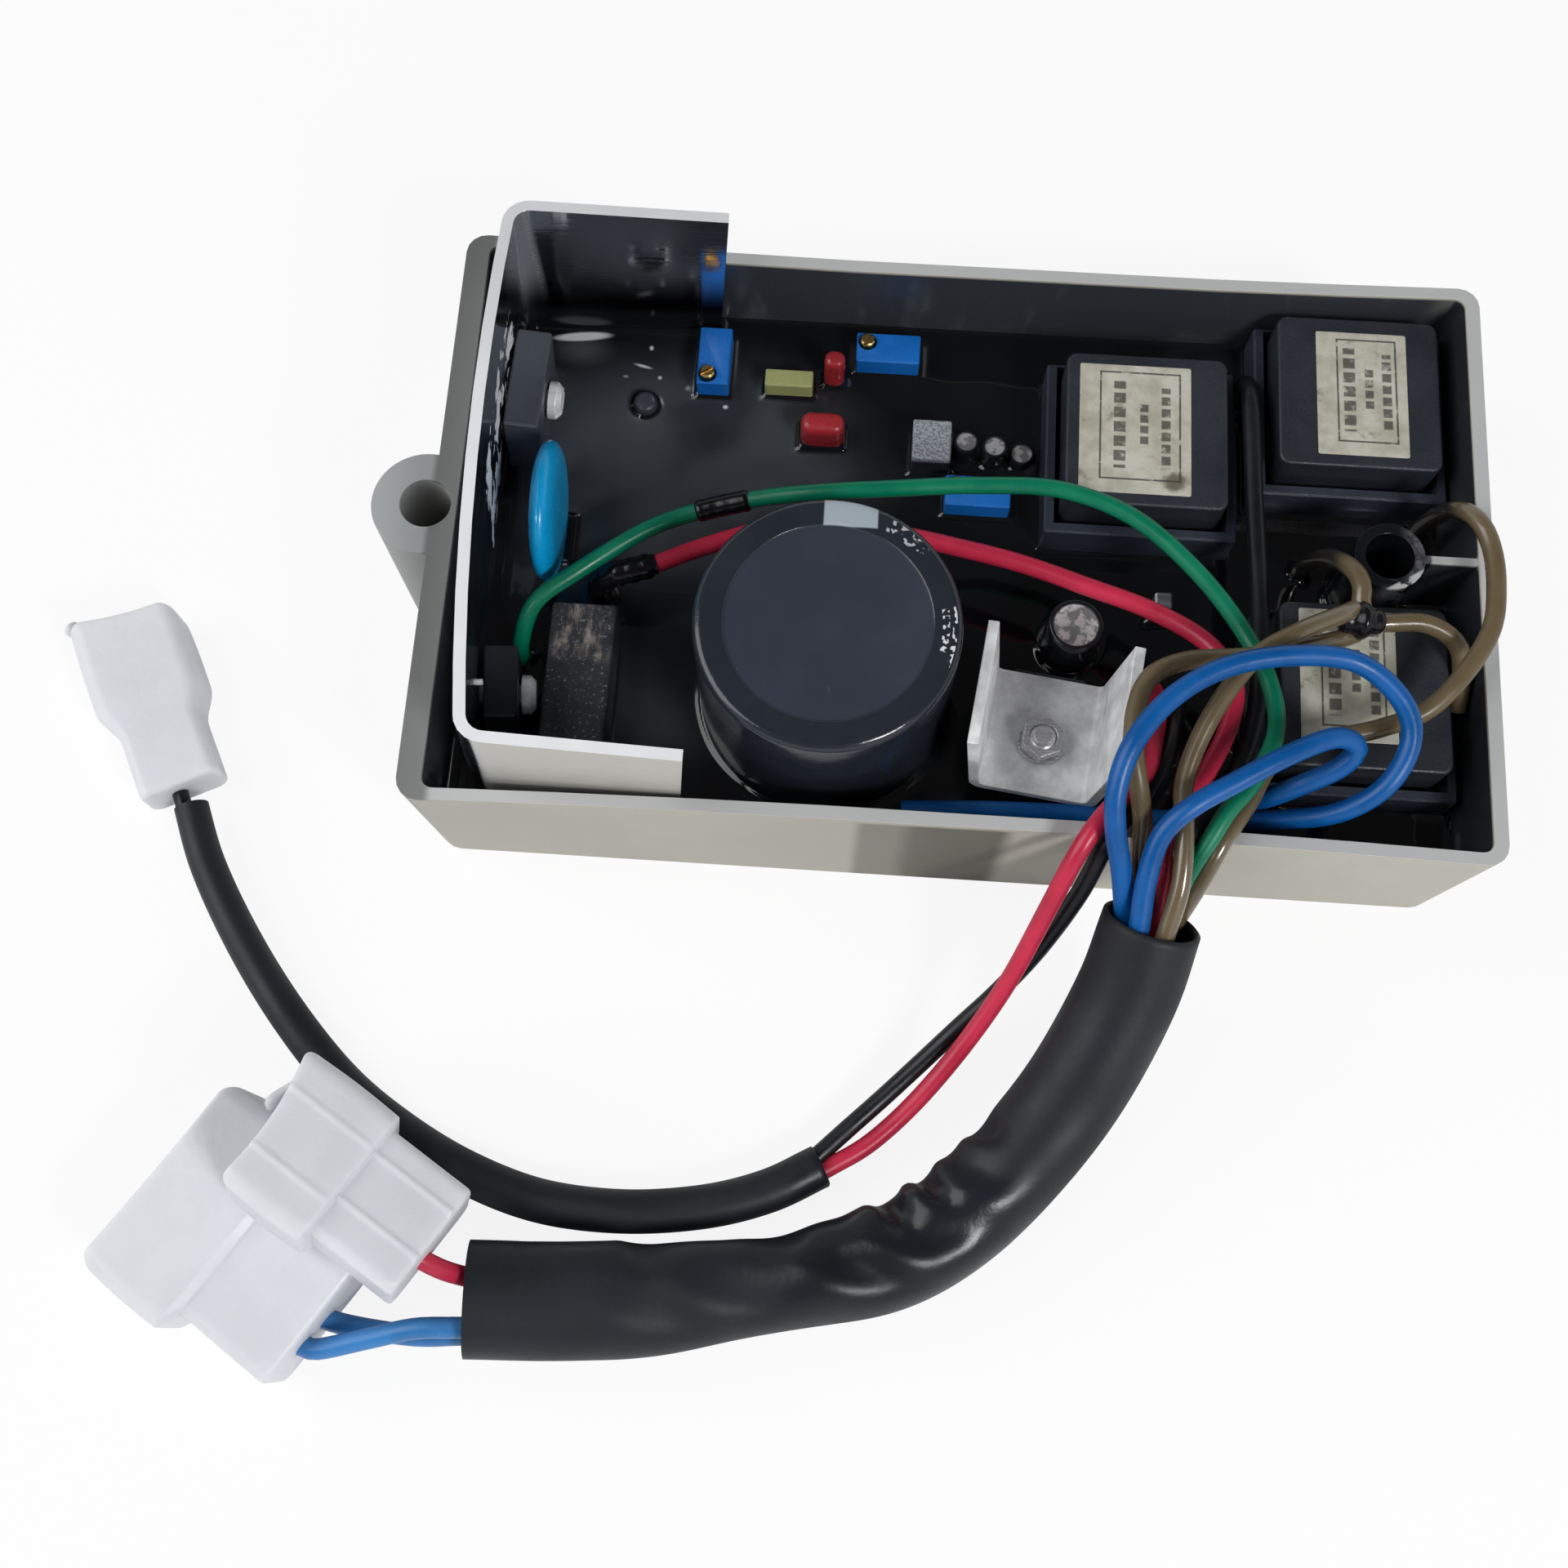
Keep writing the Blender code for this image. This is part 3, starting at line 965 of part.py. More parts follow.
tray()
circuit_board()
all_pockets = heat_sink_bracket() + filter_capacitor()
for index, (place_x, place_y) in enumerate(TRANSFORMER_PLACES, 1):
    all_pockets.append(transformer(index, place_x, place_y))
for index, (place_x, place_y, is_quarter) in enumerate(TRIMMER_PLACES, 1):
    all_pockets.append(trimmer(index, place_x, place_y, is_quarter))
all_pockets += electrolytics()
all_pockets += box_parts()
all_pockets += varistor()
all_pockets += small_heat_sink()
potting_compound(all_pockets)
wires()
connectors()
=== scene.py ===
"""Looks of an automatic voltage regulator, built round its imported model.

Each new piece is a surface worked out with numpy, in metres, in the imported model's frame. Sizes and
places written in millimetres in the tray's own frame are brought there by placed.
"""
import math

import bmesh
import bpy
import numpy as np
from mathutils import Matrix, Vector


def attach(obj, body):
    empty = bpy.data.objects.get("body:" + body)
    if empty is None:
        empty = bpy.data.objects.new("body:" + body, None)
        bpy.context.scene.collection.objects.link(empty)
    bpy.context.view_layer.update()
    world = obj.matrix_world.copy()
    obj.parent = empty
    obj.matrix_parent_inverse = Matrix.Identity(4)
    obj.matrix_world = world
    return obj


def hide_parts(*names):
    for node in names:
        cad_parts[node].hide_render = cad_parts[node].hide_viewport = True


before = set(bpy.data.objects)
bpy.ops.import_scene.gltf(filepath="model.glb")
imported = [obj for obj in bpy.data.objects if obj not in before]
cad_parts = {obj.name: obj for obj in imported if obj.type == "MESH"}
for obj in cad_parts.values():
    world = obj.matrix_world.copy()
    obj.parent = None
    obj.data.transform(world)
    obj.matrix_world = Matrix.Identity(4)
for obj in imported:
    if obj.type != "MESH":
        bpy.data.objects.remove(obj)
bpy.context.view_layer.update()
scene = bpy.context.scene
scene.view_settings.view_transform = "Standard"

MM = 0.001
TRAY_X = 0.0043
RESIN_TOP = 13.5
UNDER_RESIN = 6.3


# Camera

CAMERA_PLACE = (-0.01271, -0.10707, 0.25449)
CAMERA_YAW = 0.0718
CAMERA_PITCH = 1.2733
CAMERA_ROLL = -0.0072
CAMERA_LENS = 40.95


def linked(name, data, matrix=None):
    """New object in the scene, at the place of a matrix if one is given."""
    made = bpy.data.objects.new(name, data)
    if matrix is not None:
        made.matrix_world = matrix
    scene.collection.objects.link(made)
    return made


def camera():
    """Rolled about its view, tipped to a pitch below the horizon, then turned by a yaw about +Z."""
    data = bpy.data.cameras.new("camera")
    data.lens = CAMERA_LENS
    data.sensor_width = 36
    data.clip_start = 0.01
    tipped = Matrix.Rotation(math.pi / 2 - CAMERA_PITCH, 4, "X") @ Matrix.Rotation(CAMERA_ROLL, 4, "Z")
    turned = Matrix.Rotation(CAMERA_YAW, 4, "Z") @ tipped
    scene.camera = linked("camera", data, Matrix.Translation(CAMERA_PLACE) @ turned)


camera()


# Shader kit

def operation(kind):
    """Method of Field that adds a Math node of a kind, whose first value is the field itself."""
    def added(self, *others):
        return self.maths(kind, self, *others)
    return added


class Field:
    """A socket of a material; Python's operators on it add Math nodes."""

    def __init__(self, finish, socket):
        self.finish = finish
        self.socket = socket

    def maths(self, kind, *values):
        return self.finish.node("ShaderNodeMath", {"operation": kind}, dict(enumerate(values)))

    __add__ = operation("ADD")
    __sub__ = operation("SUBTRACT")
    __mul__ = operation("MULTIPLY")
    __truediv__ = operation("DIVIDE")
    __abs__ = operation("ABSOLUTE")
    root = operation("SQRT")
    highest = operation("MAXIMUM")
    wrapped = operation("MODULO")
    angle_over = operation("ARCTAN2")

    def __rsub__(self, other):
        return self.maths("SUBTRACT", other, self)

    def rise(self, low, high, first=0.0, last=1.0):
        """Smooth step from first at low to last at high."""
        inputs = {0: self, 1: low, 2: high, 3: first, 4: last}
        return self.finish.node("ShaderNodeMapRange", {"interpolation_type": "SMOOTHSTEP"}, inputs)

    def fall(self, low, high):
        return self.rise(low, high, 1.0, 0.0)


class Finish:
    """One material: its shader, and the nodes that vary it over a surface."""

    def __init__(self, name, colour, roughness, metallic=0.0, **constants):
        self.material = bpy.data.materials.new(name)
        self.material.use_nodes = True
        self.tree = self.material.node_tree
        self.shader = self.tree.nodes["Principled BSDF"]
        constants.update(base_color=(*colour, 1.0), roughness=roughness, metallic=metallic)
        for key, value in constants.items():
            self.entry(key).default_value = value
        self.place = self.node("ShaderNodeTexCoord", output="Object")

    def entry(self, key):
        return self.shader.inputs[key.replace("_", " ").title().replace("Ior", "IOR")]

    def node(self, kind, settings=None, inputs=None, output=0):
        """Add a node: its settings first, then the values or links of its sockets."""
        made = self.tree.nodes.new(kind)
        for key, value in (settings or {}).items():
            setattr(made, key, value)
        for key, value in (inputs or {}).items():
            if isinstance(value, Field):
                self.tree.links.new(value.socket, made.inputs[key])
            else:
                made.inputs[key].default_value = value
        return Field(self, made.outputs[output])

    def axis(self, name):
        return self.node("ShaderNodeSeparateXYZ", inputs={0: self.place}, output=name)

    def axes(self):
        return [self.axis(name) for name in "XYZ"]

    def stretched(self, x, y, z):
        """Object coordinates scaled along each axis, for marks that run one way."""
        return self.node("ShaderNodeVectorMath", {"operation": "MULTIPLY"}, {0: self.place, 1: (x, y, z)})

    def noise(self, scale, detail=3.0, roughness=0.55, vector=None):
        inputs = {"Vector": vector or self.place, "Scale": scale, "Detail": detail,
                  "Roughness": roughness}
        return self.node("ShaderNodeTexNoise", {}, inputs)

    def facing_up(self):
        normal = self.node("ShaderNodeNewGeometry", output="Normal")
        return self.node("ShaderNodeSeparateXYZ", inputs={0: normal}, output="Z")

    def away(self, x, y):
        """Millimetres along X and Y from a place in tray millimetres."""
        return (self.axis("X") - (x * MM + TRAY_X)) / MM, (self.axis("Y") - y * MM) / MM

    def near(self, x, y, reach_x, reach_y, soft):
        """1 inside a rectangle about a place in tray millimetres, falling to 0 over soft."""
        away_x, away_y = self.away(x, y)
        return (abs(away_x) - reach_x).highest(abs(away_y) - reach_y).fall(0.0, soft)

    def spot(self, x, y, reach_x=1.0, reach_y=1.0, lean=0.0):
        """Distance in reaches from a place in tray millimetres, so 1 on an ellipse that leans."""
        away_x, away_y = self.away(x, y)
        gap_x = away_x / reach_x
        gap_y = (away_y - away_x * lean) / reach_y
        return (gap_x * gap_x + gap_y * gap_y).root()

    def mix(self, share, first, second):
        """Colour or Field first, going to second as share goes to 1."""
        ends = [value if isinstance(value, Field) else (*value[:3], 1.0) for value in (first, second)]
        inputs = {0: share, 6: ends[0], 7: ends[1]}
        return self.node("ShaderNodeMix", {"data_type": "RGBA"}, inputs, output=2)

    def shades(self, share, colour, dark, light):
        """Colour times dark, going to colour times light as share goes to 1."""
        return self.mix(share, shade(colour, dark), shade(colour, light))

    def coated(self, tone, *coats):
        """Tone under coats, each a share and a colour."""
        for share, colour in coats:
            tone = self.mix(share, tone, colour)
        return tone

    def feed(self, **fields):
        """Link fields to the shader, such as base_color or roughness."""
        for key, field in fields.items():
            self.tree.links.new(field.socket, self.entry(key))
        return self

    def bump(self, height, distance):
        inputs = {"Height": height, "Distance": distance, "Strength": 1.0}
        return self.feed(normal=self.node("ShaderNodeBump", {}, inputs))


def shade(colour, factor):
    return tuple(value * factor for value in colour)


def moulded(name, colour, roughness, mottle=0.18, grain=0.00003, dust=0.0, grain_scale=2600.0,
            **constants):
    """Moulded plastic: broad and fine noise vary its colour and gloss, and dust settles on its tops."""
    made = Finish(name, colour, roughness, **constants)
    fine = made.noise(grain_scale, 2.0)
    blend = (made.noise(90.0, 4.0) * 0.7 + fine * 0.3).rise(0.3, 0.7)
    tone = made.shades(blend, colour, 1 - mottle, 1 + mottle)
    if dust:
        specks = made.noise(3200.0, 2.0).rise(0.60, 0.74) * dust
        film = made.noise(160.0, 4.0).rise(0.35, 0.8) * dust * 0.35
        share = specks.highest(film) * made.facing_up().rise(0.3, 0.9)
        tone = made.mix(share, tone, (0.36, 0.36, 0.36))
    made.feed(base_color=tone, roughness=blend.rise(0.0, 1.0, roughness - 0.06, roughness + 0.08))
    return made.bump(fine, grain)


# Shape kit

def settle(piece, node=None, body="regulator"):
    """Put a piece on its body and the node it stands for."""
    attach(piece, body)
    if node:
        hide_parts(node)
    return piece


def piece_from(name, points, faces, finish, smooth=60.0):
    """Object at the origin from points and a list of face arrays, smooth below an angle in degrees."""
    mesh = bpy.data.meshes.new(name)
    mesh.from_pydata(points.tolist(), [], [row for group in faces for row in group.tolist()])
    mesh.materials.append(finish.material)
    mesh.shade_smooth()
    mesh.set_sharp_from_angle(angle=math.radians(smooth))
    return linked(name, mesh)


def grid_faces(index, wrap=False):
    """Quads between neighbours of a grid of point numbers; a wrapped row also joins its own ends."""
    if wrap:
        index = np.hstack([index, index[:, :1]])
    corners = (index[:-1, :-1], index[:-1, 1:], index[1:, 1:], index[1:, :-1])
    return np.stack(corners, -1).reshape(-1, 4)


def lofted(name, shapes, finish, slot, node=None, smooth=40.0):
    """One settled piece of several skins over closed rings, each end a fan round its middle."""
    points, faces, start = [], [], 0
    for rings in shapes:
        levels, count = rings.shape[:2]
        index = np.arange(levels * count).reshape(levels, count) + start
        around = np.roll(index, -1, axis=1)
        middle = np.full(count, start + levels * count)
        points += [rings.reshape(-1, 3), rings[:1].mean(1), rings[-1:].mean(1)]
        faces += [grid_faces(index, True), np.stack([around[0], index[0], middle], -1),
                  np.stack([index[-1], around[-1], middle + 1], -1)]
        start += levels * count + 2
    return settle(piece_from(name, np.vstack(points), faces, finish, smooth), node)


def placed(points, frame_matrix=None):
    """Tray millimetres, or those of a frame in the tray, to metres in the model's frame."""
    points = np.asarray(points, float)
    if frame_matrix is not None:
        points = points @ np.array(frame_matrix.to_3x3()).T + np.array(frame_matrix.translation)
    return points * MM + (TRAY_X, 0.0, 0.0)


def block_rings(x, y, width, depth, low, high, corner, edge):
    """Rings of an upright block, in tray millimetres: quarter circles round its corners, and a top edge
    rounded by a quarter circle of radius edge."""
    hold = 0.25
    turn = np.linspace(0, np.pi / 2, 5)
    inset = np.concatenate([[0.0, 0.0], edge * (1 - np.cos(turn)), [edge + hold]])[:, None]
    height = np.concatenate([[low, high - edge - hold], high - edge + edge * np.sin(turn), [high]])
    arc = np.radians(np.linspace(-90, 0, 7))
    angles = np.concatenate([arc + np.pi / 2 * quarter for quarter in range(4)])
    corner = np.maximum(corner - inset, 0.05)
    across = np.repeat([1, 1, -1, -1], 7) * (width / 2 - inset - corner) + corner * np.cos(angles)
    along = np.repeat([-1, 1, 1, -1], 7) * (depth / 2 - inset - corner) + corner * np.sin(angles)
    levels = np.broadcast_to(height[:, None], across.shape)
    return placed(np.stack([across + x, along + y, levels], -1))


def turned_rings(x, y, profile, sides=64, frame_matrix=None):
    """Rings of a profile of radius and height, revolved about an upright axis, in tray millimetres."""
    radius, height = np.array(profile, float).T[:, :, None]
    angle = np.linspace(0, 2 * np.pi, sides, endpoint=False)
    rings = np.stack([radius * np.cos(angle) + x, radius * np.sin(angle) + y,
                      np.broadcast_to(height, (len(radius), sides))], -1)
    return placed(rings, frame_matrix)


def softened(node, name, finish, width=0.0, body="regulator"):
    """Copy of a CAD node with its flat facets joined and its edges rounded by a Bevel modifier."""
    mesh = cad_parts[node].data.copy()
    work = bmesh.new()
    work.from_mesh(mesh)
    bmesh.ops.remove_doubles(work, verts=work.verts, dist=0.000002)
    bmesh.ops.dissolve_limit(work, angle_limit=math.radians(0.6), verts=work.verts, edges=work.edges)
    work.to_mesh(mesh)
    work.free()
    mesh.materials.clear()
    mesh.materials.append(finish.material)
    mesh.shade_smooth()
    mesh.set_sharp_from_angle(angle=math.radians(30))
    piece = linked(name, mesh)
    if width:
        rounding = piece.modifiers.new("edges", "BEVEL")
        rounding.width = width
        rounding.segments = 2
        rounding.limit_method = "ANGLE"
        rounding.angle_limit = math.radians(40)
        rounding.harden_normals = True
    settle(piece, node, body)


# Cords: route points, listed in tray millimetres

ROUTES = {
    "wire_green": [
        (-60.9, -17.0, 14.4), (-60.8, -16.4, 18.5), (-58.6, -12.0, 23.2), (-53.2, -7.8, 24.7),
        (-44.0, -1.0, 25.2), (-36.1, 2.2, 26.0), (-27.5, 3.7, 28.0), (-19.0, 4.2, 30.0),
        (-8.9, 4.9, 31.0), (2.2, 5.8, 31.5), (13.4, 5.6, 32.0), (23.4, 1.7, 32.5), (32.2, -5.9, 32.2),
        (39.0, -14.3, 30.9), (42.1, -21.8, 31.0), (42.1, -28.3, 32.0), (39.0, -35.0, 33.2),
        (35.7, -39.2, 33.4), (33.6, -42.8, 32.5), (30.8, -48.0, 29.0), (29.6, -53.0, 24.8)],
    "wire_red_main": [
        (-41.6, -4.3, 22.1), (-35.9, -1.8, 22.5), (-27.0, 1.4, 22.8), (-18.0, 2.2, 23.2),
        (-9.0, 1.3, 24.0), (0.0, -0.6, 24.8), (8.8, -2.8, 25.5), (17.8, -6.1, 26.5), (26.8, -9.4, 27.0),
        (33.8, -13.8, 28.0), (37.4, -19.3, 28.8), (37.0, -25.5, 29.2), (33.8, -32.8, 30.2),
        (30.3, -38.8, 30.6), (28.1, -42.8, 30.6), (27.8, -47.5, 29.1), (27.6, -52.1, 25.5)],
    "wire_red_branch": [
        (28.2, -16.5, 14.5), (28.2, -17.0, 18.5), (27.7, -23.0, 26.5), (26.6, -29.0, 29.6),
        (25.4, -34.0, 31.0), (21.7, -38.4, 32.2), (18.6, -42.4, 32.8), (16.2, -46.5, 31.0),
        (13.9, -51.5, 25.0), (9.9, -59.9, 16.0), (4.7, -68.0, 9.4), (-1.4, -75.7, 5.2),
        (-7.4, -81.6, 3.6), (-13.0, -85.3, 3.4)],
    "wire_black_branch": [
        (31.8, -17.8, 14.5), (31.7, -18.2, 18.5), (30.6, -24.0, 24.5), (28.6, -31.0, 27.6),
        (25.6, -37.4, 29.2), (22.3, -41.1, 30.2), (20.1, -44.6, 29.9), (18.0, -49.2, 23.6),
        (14.0, -55.0, 16.0), (9.0, -60.6, 11.4), (4.0, -65.4, 7.8), (-1.6, -71.0, 5.2),
        (-6.0, -75.4, 4.0), (-10.4, -79.7, 3.5), (-14.0, -83.3, 3.4)],
    "wire_black_main": [
        (41.65, 31.0, 14.4), (41.65, 30.8, 18.5), (41.6, 29.5, 21.6), (41.6, 26.2, 23.3),
        (41.6, 21.2, 24.0), (41.7, 10.6, 24.5), (41.9, -2.1, 25.3), (41.9, -12.3, 26.0),
        (41.0, -22.8, 27.0), (38.2, -31.7, 28.4), (34.7, -37.6, 30.1), (31.6, -42.5, 30.6),
        (30.1, -46.6, 27.4), (28.3, -49.8, 22.3)],
    "wire_blue_1": [
        (23.6, -51.5, 26.1), (22.2, -47.4, 31.5), (20.6, -43.5, 36.0), (20.2, -39.0, 39.4),
        (21.9, -33.6, 41.5), (26.7, -27.3, 41.5), (33.6, -22.7, 41.3), (42.2, -20.2, 40.3),
        (51.1, -19.8, 38.4), (57.2, -23.7, 36.5), (59.1, -28.5, 34.5), (56.7, -34.0, 32.0),
        (51.5, -37.0, 28.0), (44.2, -37.2, 23.2), (36.3, -36.8, 19.5), (27.8, -36.4, 17.5),
        (16.6, -36.2, 16.8), (5.3, -36.4, 16.6), (-2.7, -36.7, 16.0)],
    "wire_blue_2": [
        (25.2, -53.7, 28.4), (25.4, -48.8, 31.9), (26.6, -43.8, 35.3), (29.9, -40.5, 37.5),
        (35.2, -37.1, 37.9), (42.7, -32.6, 37.9), (48.8, -29.6, 36.5), (52.2, -29.9, 34.0),
        (50.6, -32.0, 31.5), (45.9, -34.0, 29.0), (42.0, -35.0, 25.5), (40.2, -33.4, 20.5),
        (40.0, -33.2, 14.5)],
    "wire_brown_outer": [
        (66.8, 9.5, 14.4), (66.9, 9.4, 19.0), (67.6, 8.8, 24.5), (68.7, 7.6, 29.0), (70.3, 4.8, 31.8),
        (71.7, 0.6, 32.4), (72.0, -5.0, 32.6), (70.9, -11.6, 33.0), (67.4, -17.8, 32.4),
        (62.6, -23.0, 31.0), (56.6, -25.4, 29.2), (49.1, -27.4, 28.3), (42.6, -30.9, 28.3),
        (39.1, -36.9, 29.9), (35.6, -42.5, 30.8), (33.3, -47.3, 28.1), (31.1, -51.5, 23.6)],
    "wire_brown_bridge": [
        (50.6, 3.6, 14.2), (50.6, 3.0, 19.0), (51.7, 0.6, 26.0), (53.4, -3.0, 30.5), (54.2, -6.0, 31.8),
        (54.3, -9.0, 31.2), (56.5, -10.7, 30.6), (63.0, -10.3, 30.3), (67.8, -12.2, 28.5),
        (69.6, -15.5, 25.0), (69.7, -19.5, 22.0)],
    "wire_brown_tape_1": [
        (52.0, -10.4, 33.0), (50.4, -11.5, 34.0), (43.9, -15.4, 36.4), (38.1, -19.8, 37.6),
        (33.6, -26.1, 37.6), (30.8, -32.0, 35.8), (29.6, -37.0, 34.2), (29.8, -42.5, 34.0),
        (29.8, -49.0, 31.8), (28.7, -54.6, 28.5)],
    "wire_brown_tape_2": [
        (53.0, -12.5, 29.7), (50.8, -13.6, 30.4), (44.5, -16.4, 33.2), (39.8, -18.0, 34.2),
        (36.2, -18.7, 34.6), (29.4, -20.2, 36.2), (24.6, -23.3, 37.6), (22.7, -28.3, 37.6),
        (22.6, -33.6, 37.6), (23.5, -37.2, 35.9), (24.7, -41.0, 32.5), (24.9, -44.2, 29.9),
        (25.3, -47.0, 27.2), (25.0, -49.8, 23.3)],
    "shrink_sleeve_red": [
        (-50.5, -6.6, 14.5), (-50.5, -6.6, 18.0), (-48.5, -6.3, 21.2), (-45.0, -5.5, 21.9),
        (-42.3, -4.6, 22.1)],
    "sleeve_main": [
        (27.4, -52.8, 25.0), (25.2, -61.4, 18.7), (20.1, -72.4, 12.2), (13.6, -81.8, 8.6),
        (5.7, -90.3, 7.4), (-2.9, -96.2, 7.2), (-13.6, -99.8, 7.2), (-29.8, -103.3, 7.2),
        (-46.0, -105.1, 7.5), (-59.7, -105.8, 8.5)],
    "sleeve_branch": [
        (-14.0, -85.1, 3.4), (-21.0, -88.9, 3.4), (-29.8, -91.6, 3.4), (-40.9, -92.9, 3.4),
        (-52.3, -92.2, 3.4), (-62.8, -89.0, 3.4), (-72.5, -84.1, 3.4), (-81.4, -77.9, 3.4),
        (-90.1, -69.2, 3.4), (-98.1, -59.1, 3.6), (-105.0, -48.1, 4.2), (-109.4, -37.9, 4.6)],
    "stub_blue_1": [
        (-60.4, -109.5, 10.2), (-66.0, -110.0, 10.0), (-72.0, -111.6, 9.2), (-78.8, -113.4, 8.0),
        (-81.5, -112.8, 7.6), (-83.0, -112.2, 7.4)],
    "stub_blue_2": [
        (-60.4, -110.4, 6.6), (-66.0, -110.9, 5.5), (-72.0, -110.6, 5.0), (-76.8, -110.0, 5.6),
        (-80.0, -109.2, 6.0)],
    "stub_red": [
        (-60.4, -102.9, 11.6), (-61.8, -102.6, 13.0), (-63.2, -102.1, 14.7), (-64.7, -101.4, 16.2),
        (-66.4, -100.6, 17.2)]}


def curve(points, step):
    """Catmull-Rom curve through points, 0.5 (2b + (c-a)t + (2a-5b+4c-d)t^2 + (3b-a-3c+d)t^3) on each
    span b to c, read off at even steps of its length."""
    points = np.asarray(points, float)
    points = np.vstack([2 * points[0] - points[1], points, 2 * points[-1] - points[-2]])
    a, b, c, d = points[:-3], points[1:-2], points[2:-1], points[3:]
    t = np.linspace(0, 1, 24, endpoint=False)[:, None, None]
    spans = 0.5 * (2 * b + (c - a) * t + (2 * a - 5 * b + 4 * c - d) * t ** 2
                   + (3 * b - a - 3 * c + d) * t ** 3)
    fine = np.vstack([spans.transpose(1, 0, 2).reshape(-1, 3), points[-2]])
    lengths = way_along(fine)
    want = np.linspace(0, lengths[-1], max(4, round(lengths[-1] / step)) + 1)
    return np.stack([np.interp(want, lengths, fine[:, axis]) for axis in range(3)], -1)


def way_along(path):
    """Length of a path up to each of its points."""
    return np.concatenate([[0.0], np.cumsum(np.linalg.norm(np.diff(path, axis=0), axis=1))])


def unit(vectors):
    return vectors / np.linalg.norm(vectors, axis=-1, keepdims=True)


def rings_round(path, side, up, radius, sides):
    """Rings round a path: place + radius (cos a side + sin a up), radius by place and angle."""
    angle = np.linspace(0, 2 * np.pi, sides, endpoint=False)[None, :, None]
    radius = np.broadcast_to(radius, (len(path), sides))[:, :, None]
    return path[:, None] + radius * (np.cos(angle) * side[:, None] + np.sin(angle) * up[:, None])


def tube_rings(path, radius, sides=16):
    """Rings whose angle runs from the one of thirteen references that the path stays furthest from."""
    tangent = unit(np.gradient(path, axis=0))
    ways = np.stack(np.meshgrid([-1, 0, 1], [-1, 0, 1], [0, 1], indexing="ij"), -1).reshape(-1, 3)
    ways = unit(ways[np.abs(ways).sum(1) > 0].astype(float))
    reference = ways[np.abs(tangent @ ways.T).max(0).argmin()]
    side = unit(reference - tangent * (tangent @ reference)[:, None])
    return rings_round(path, side, np.cross(tangent, side), radius, sides)


def upright_rings(path, radius):
    """Rings whose angle runs from the level side, over the top."""
    tangent = unit(np.gradient(path, axis=0))
    side = unit(np.cross(tangent, (0.0, 0.0, 1.0)))
    return rings_round(path, side, np.cross(side, tangent), radius, radius.shape[1])


def lengthened(path, before=0.0, after=0.0):
    """Path carried straight on past its ends."""
    parts = [path]
    if before:
        parts.insert(0, path[0] + unit(path[0] - path[1]) * before * np.array([[1.0], [0.5]]))
    if after:
        parts.append(path[-1] + unit(path[-1] - path[-2]) * after * np.array([[0.5], [1.0]]))
    return np.vstack(parts)


def insulation(name, colour, roughness=0.34, resin=False):
    """Vinyl insulation: slightly uneven gloss and a little grime; brown goes near black where it runs low,
    and is glazed there, by its far start, by the joint and by the sleeve."""
    made = Finish(name, colour, roughness, specular_ior_level=0.35)
    broad = made.noise(120.0, 3.0)
    grime = made.noise(420.0, 4.0, 0.65).rise(0.58, 0.78) * 0.35
    tone = made.shades(broad.rise(0.3, 0.7), colour, 0.86, 1.14)
    tone = made.mix(grime, tone, shade(colour, 0.55))
    # Brown only: darkened near black below about 30 mm past y -8 mm; the far start gets gloss only.
    if resin:
        x, y, z = made.axes()
        low_stretch = y.rise(-0.0080, -0.0040) * z.fall(0.0285, 0.0318)
        tone = made.mix(low_stretch * 0.93, tone, (0.008, 0.008, 0.009))
        far = x.rise(0.0690, 0.0700) * x.fall(0.0735, 0.0775) * y.rise(-0.0005, 0.0030)
        low_stretch = low_stretch.highest(far)
        glazed = made.near(51.2, -13.0, 6.0, 5.0, 2.0) * z.rise(0.0290, 0.0300)
        made.feed(coat_weight=glazed.highest(low_stretch).highest(y.fall(-0.0430, -0.0400)))
        made.entry("coat_roughness").default_value = 0.05
    made.feed(base_color=tone, roughness=broad.rise(0.3, 0.7, roughness - 0.08, roughness + 0.10))
    return made.bump(made.noise(1500.0, 2.0), 0.00002)


GREEN_PVC = insulation("green_insulation", (0.000, 0.166, 0.084))
RED_PVC = insulation("red_insulation", (0.520, 0.022, 0.062))
BLACK_PVC = insulation("black_insulation", (0.006, 0.007, 0.010), 0.36)
BLUE_PVC = insulation("blue_insulation", (0.002, 0.088, 0.315))
PALE_BLUE_PVC = insulation("pale_blue_insulation", (0.040, 0.190, 0.470), 0.28)
BROWN_PVC = insulation("brown_insulation", (0.130, 0.096, 0.052), 0.30, True)


def sleeve_finish(name, colour, roughness):
    """Soft vinyl sleeve: satin black with rub marks that run across it, glossier where it is folded."""
    made = Finish(name, colour, roughness, specular_ior_level=0.34)
    broad = made.noise(55.0, 4.0)
    rubbed = made.noise(300.0, 5.0, 0.7).rise(0.56, 0.8) * 0.4
    tone = made.shades(broad.rise(0.35, 0.7), colour, 0.75, 1.35)
    folded = made.near(-1.3, -95.0, 13.0, 6.0, 6.0) * 0.20
    made.feed(base_color=made.mix(rubbed, tone, shade(colour, 2.2)),
              roughness=broad.rise(0.3, 0.7, roughness + 0.08, roughness - 0.08) - folded)
    return made.bump(made.noise(900.0, 3.0), 0.00004)


SLEEVE_PVC = sleeve_finish("sleeve_vinyl", (0.0100, 0.0125, 0.0165), 0.50)
SHRINK_PVC = sleeve_finish("shrink_tube", (0.006, 0.006, 0.008), 0.20)

RED_SHRINK = 0.0038
MAIN_SLEEVE = 0.014
BRANCH_SLEEVE = 0.006
LEAD = 0.0024
WIDEST_SLEEVE_RADIUS = 0.00765

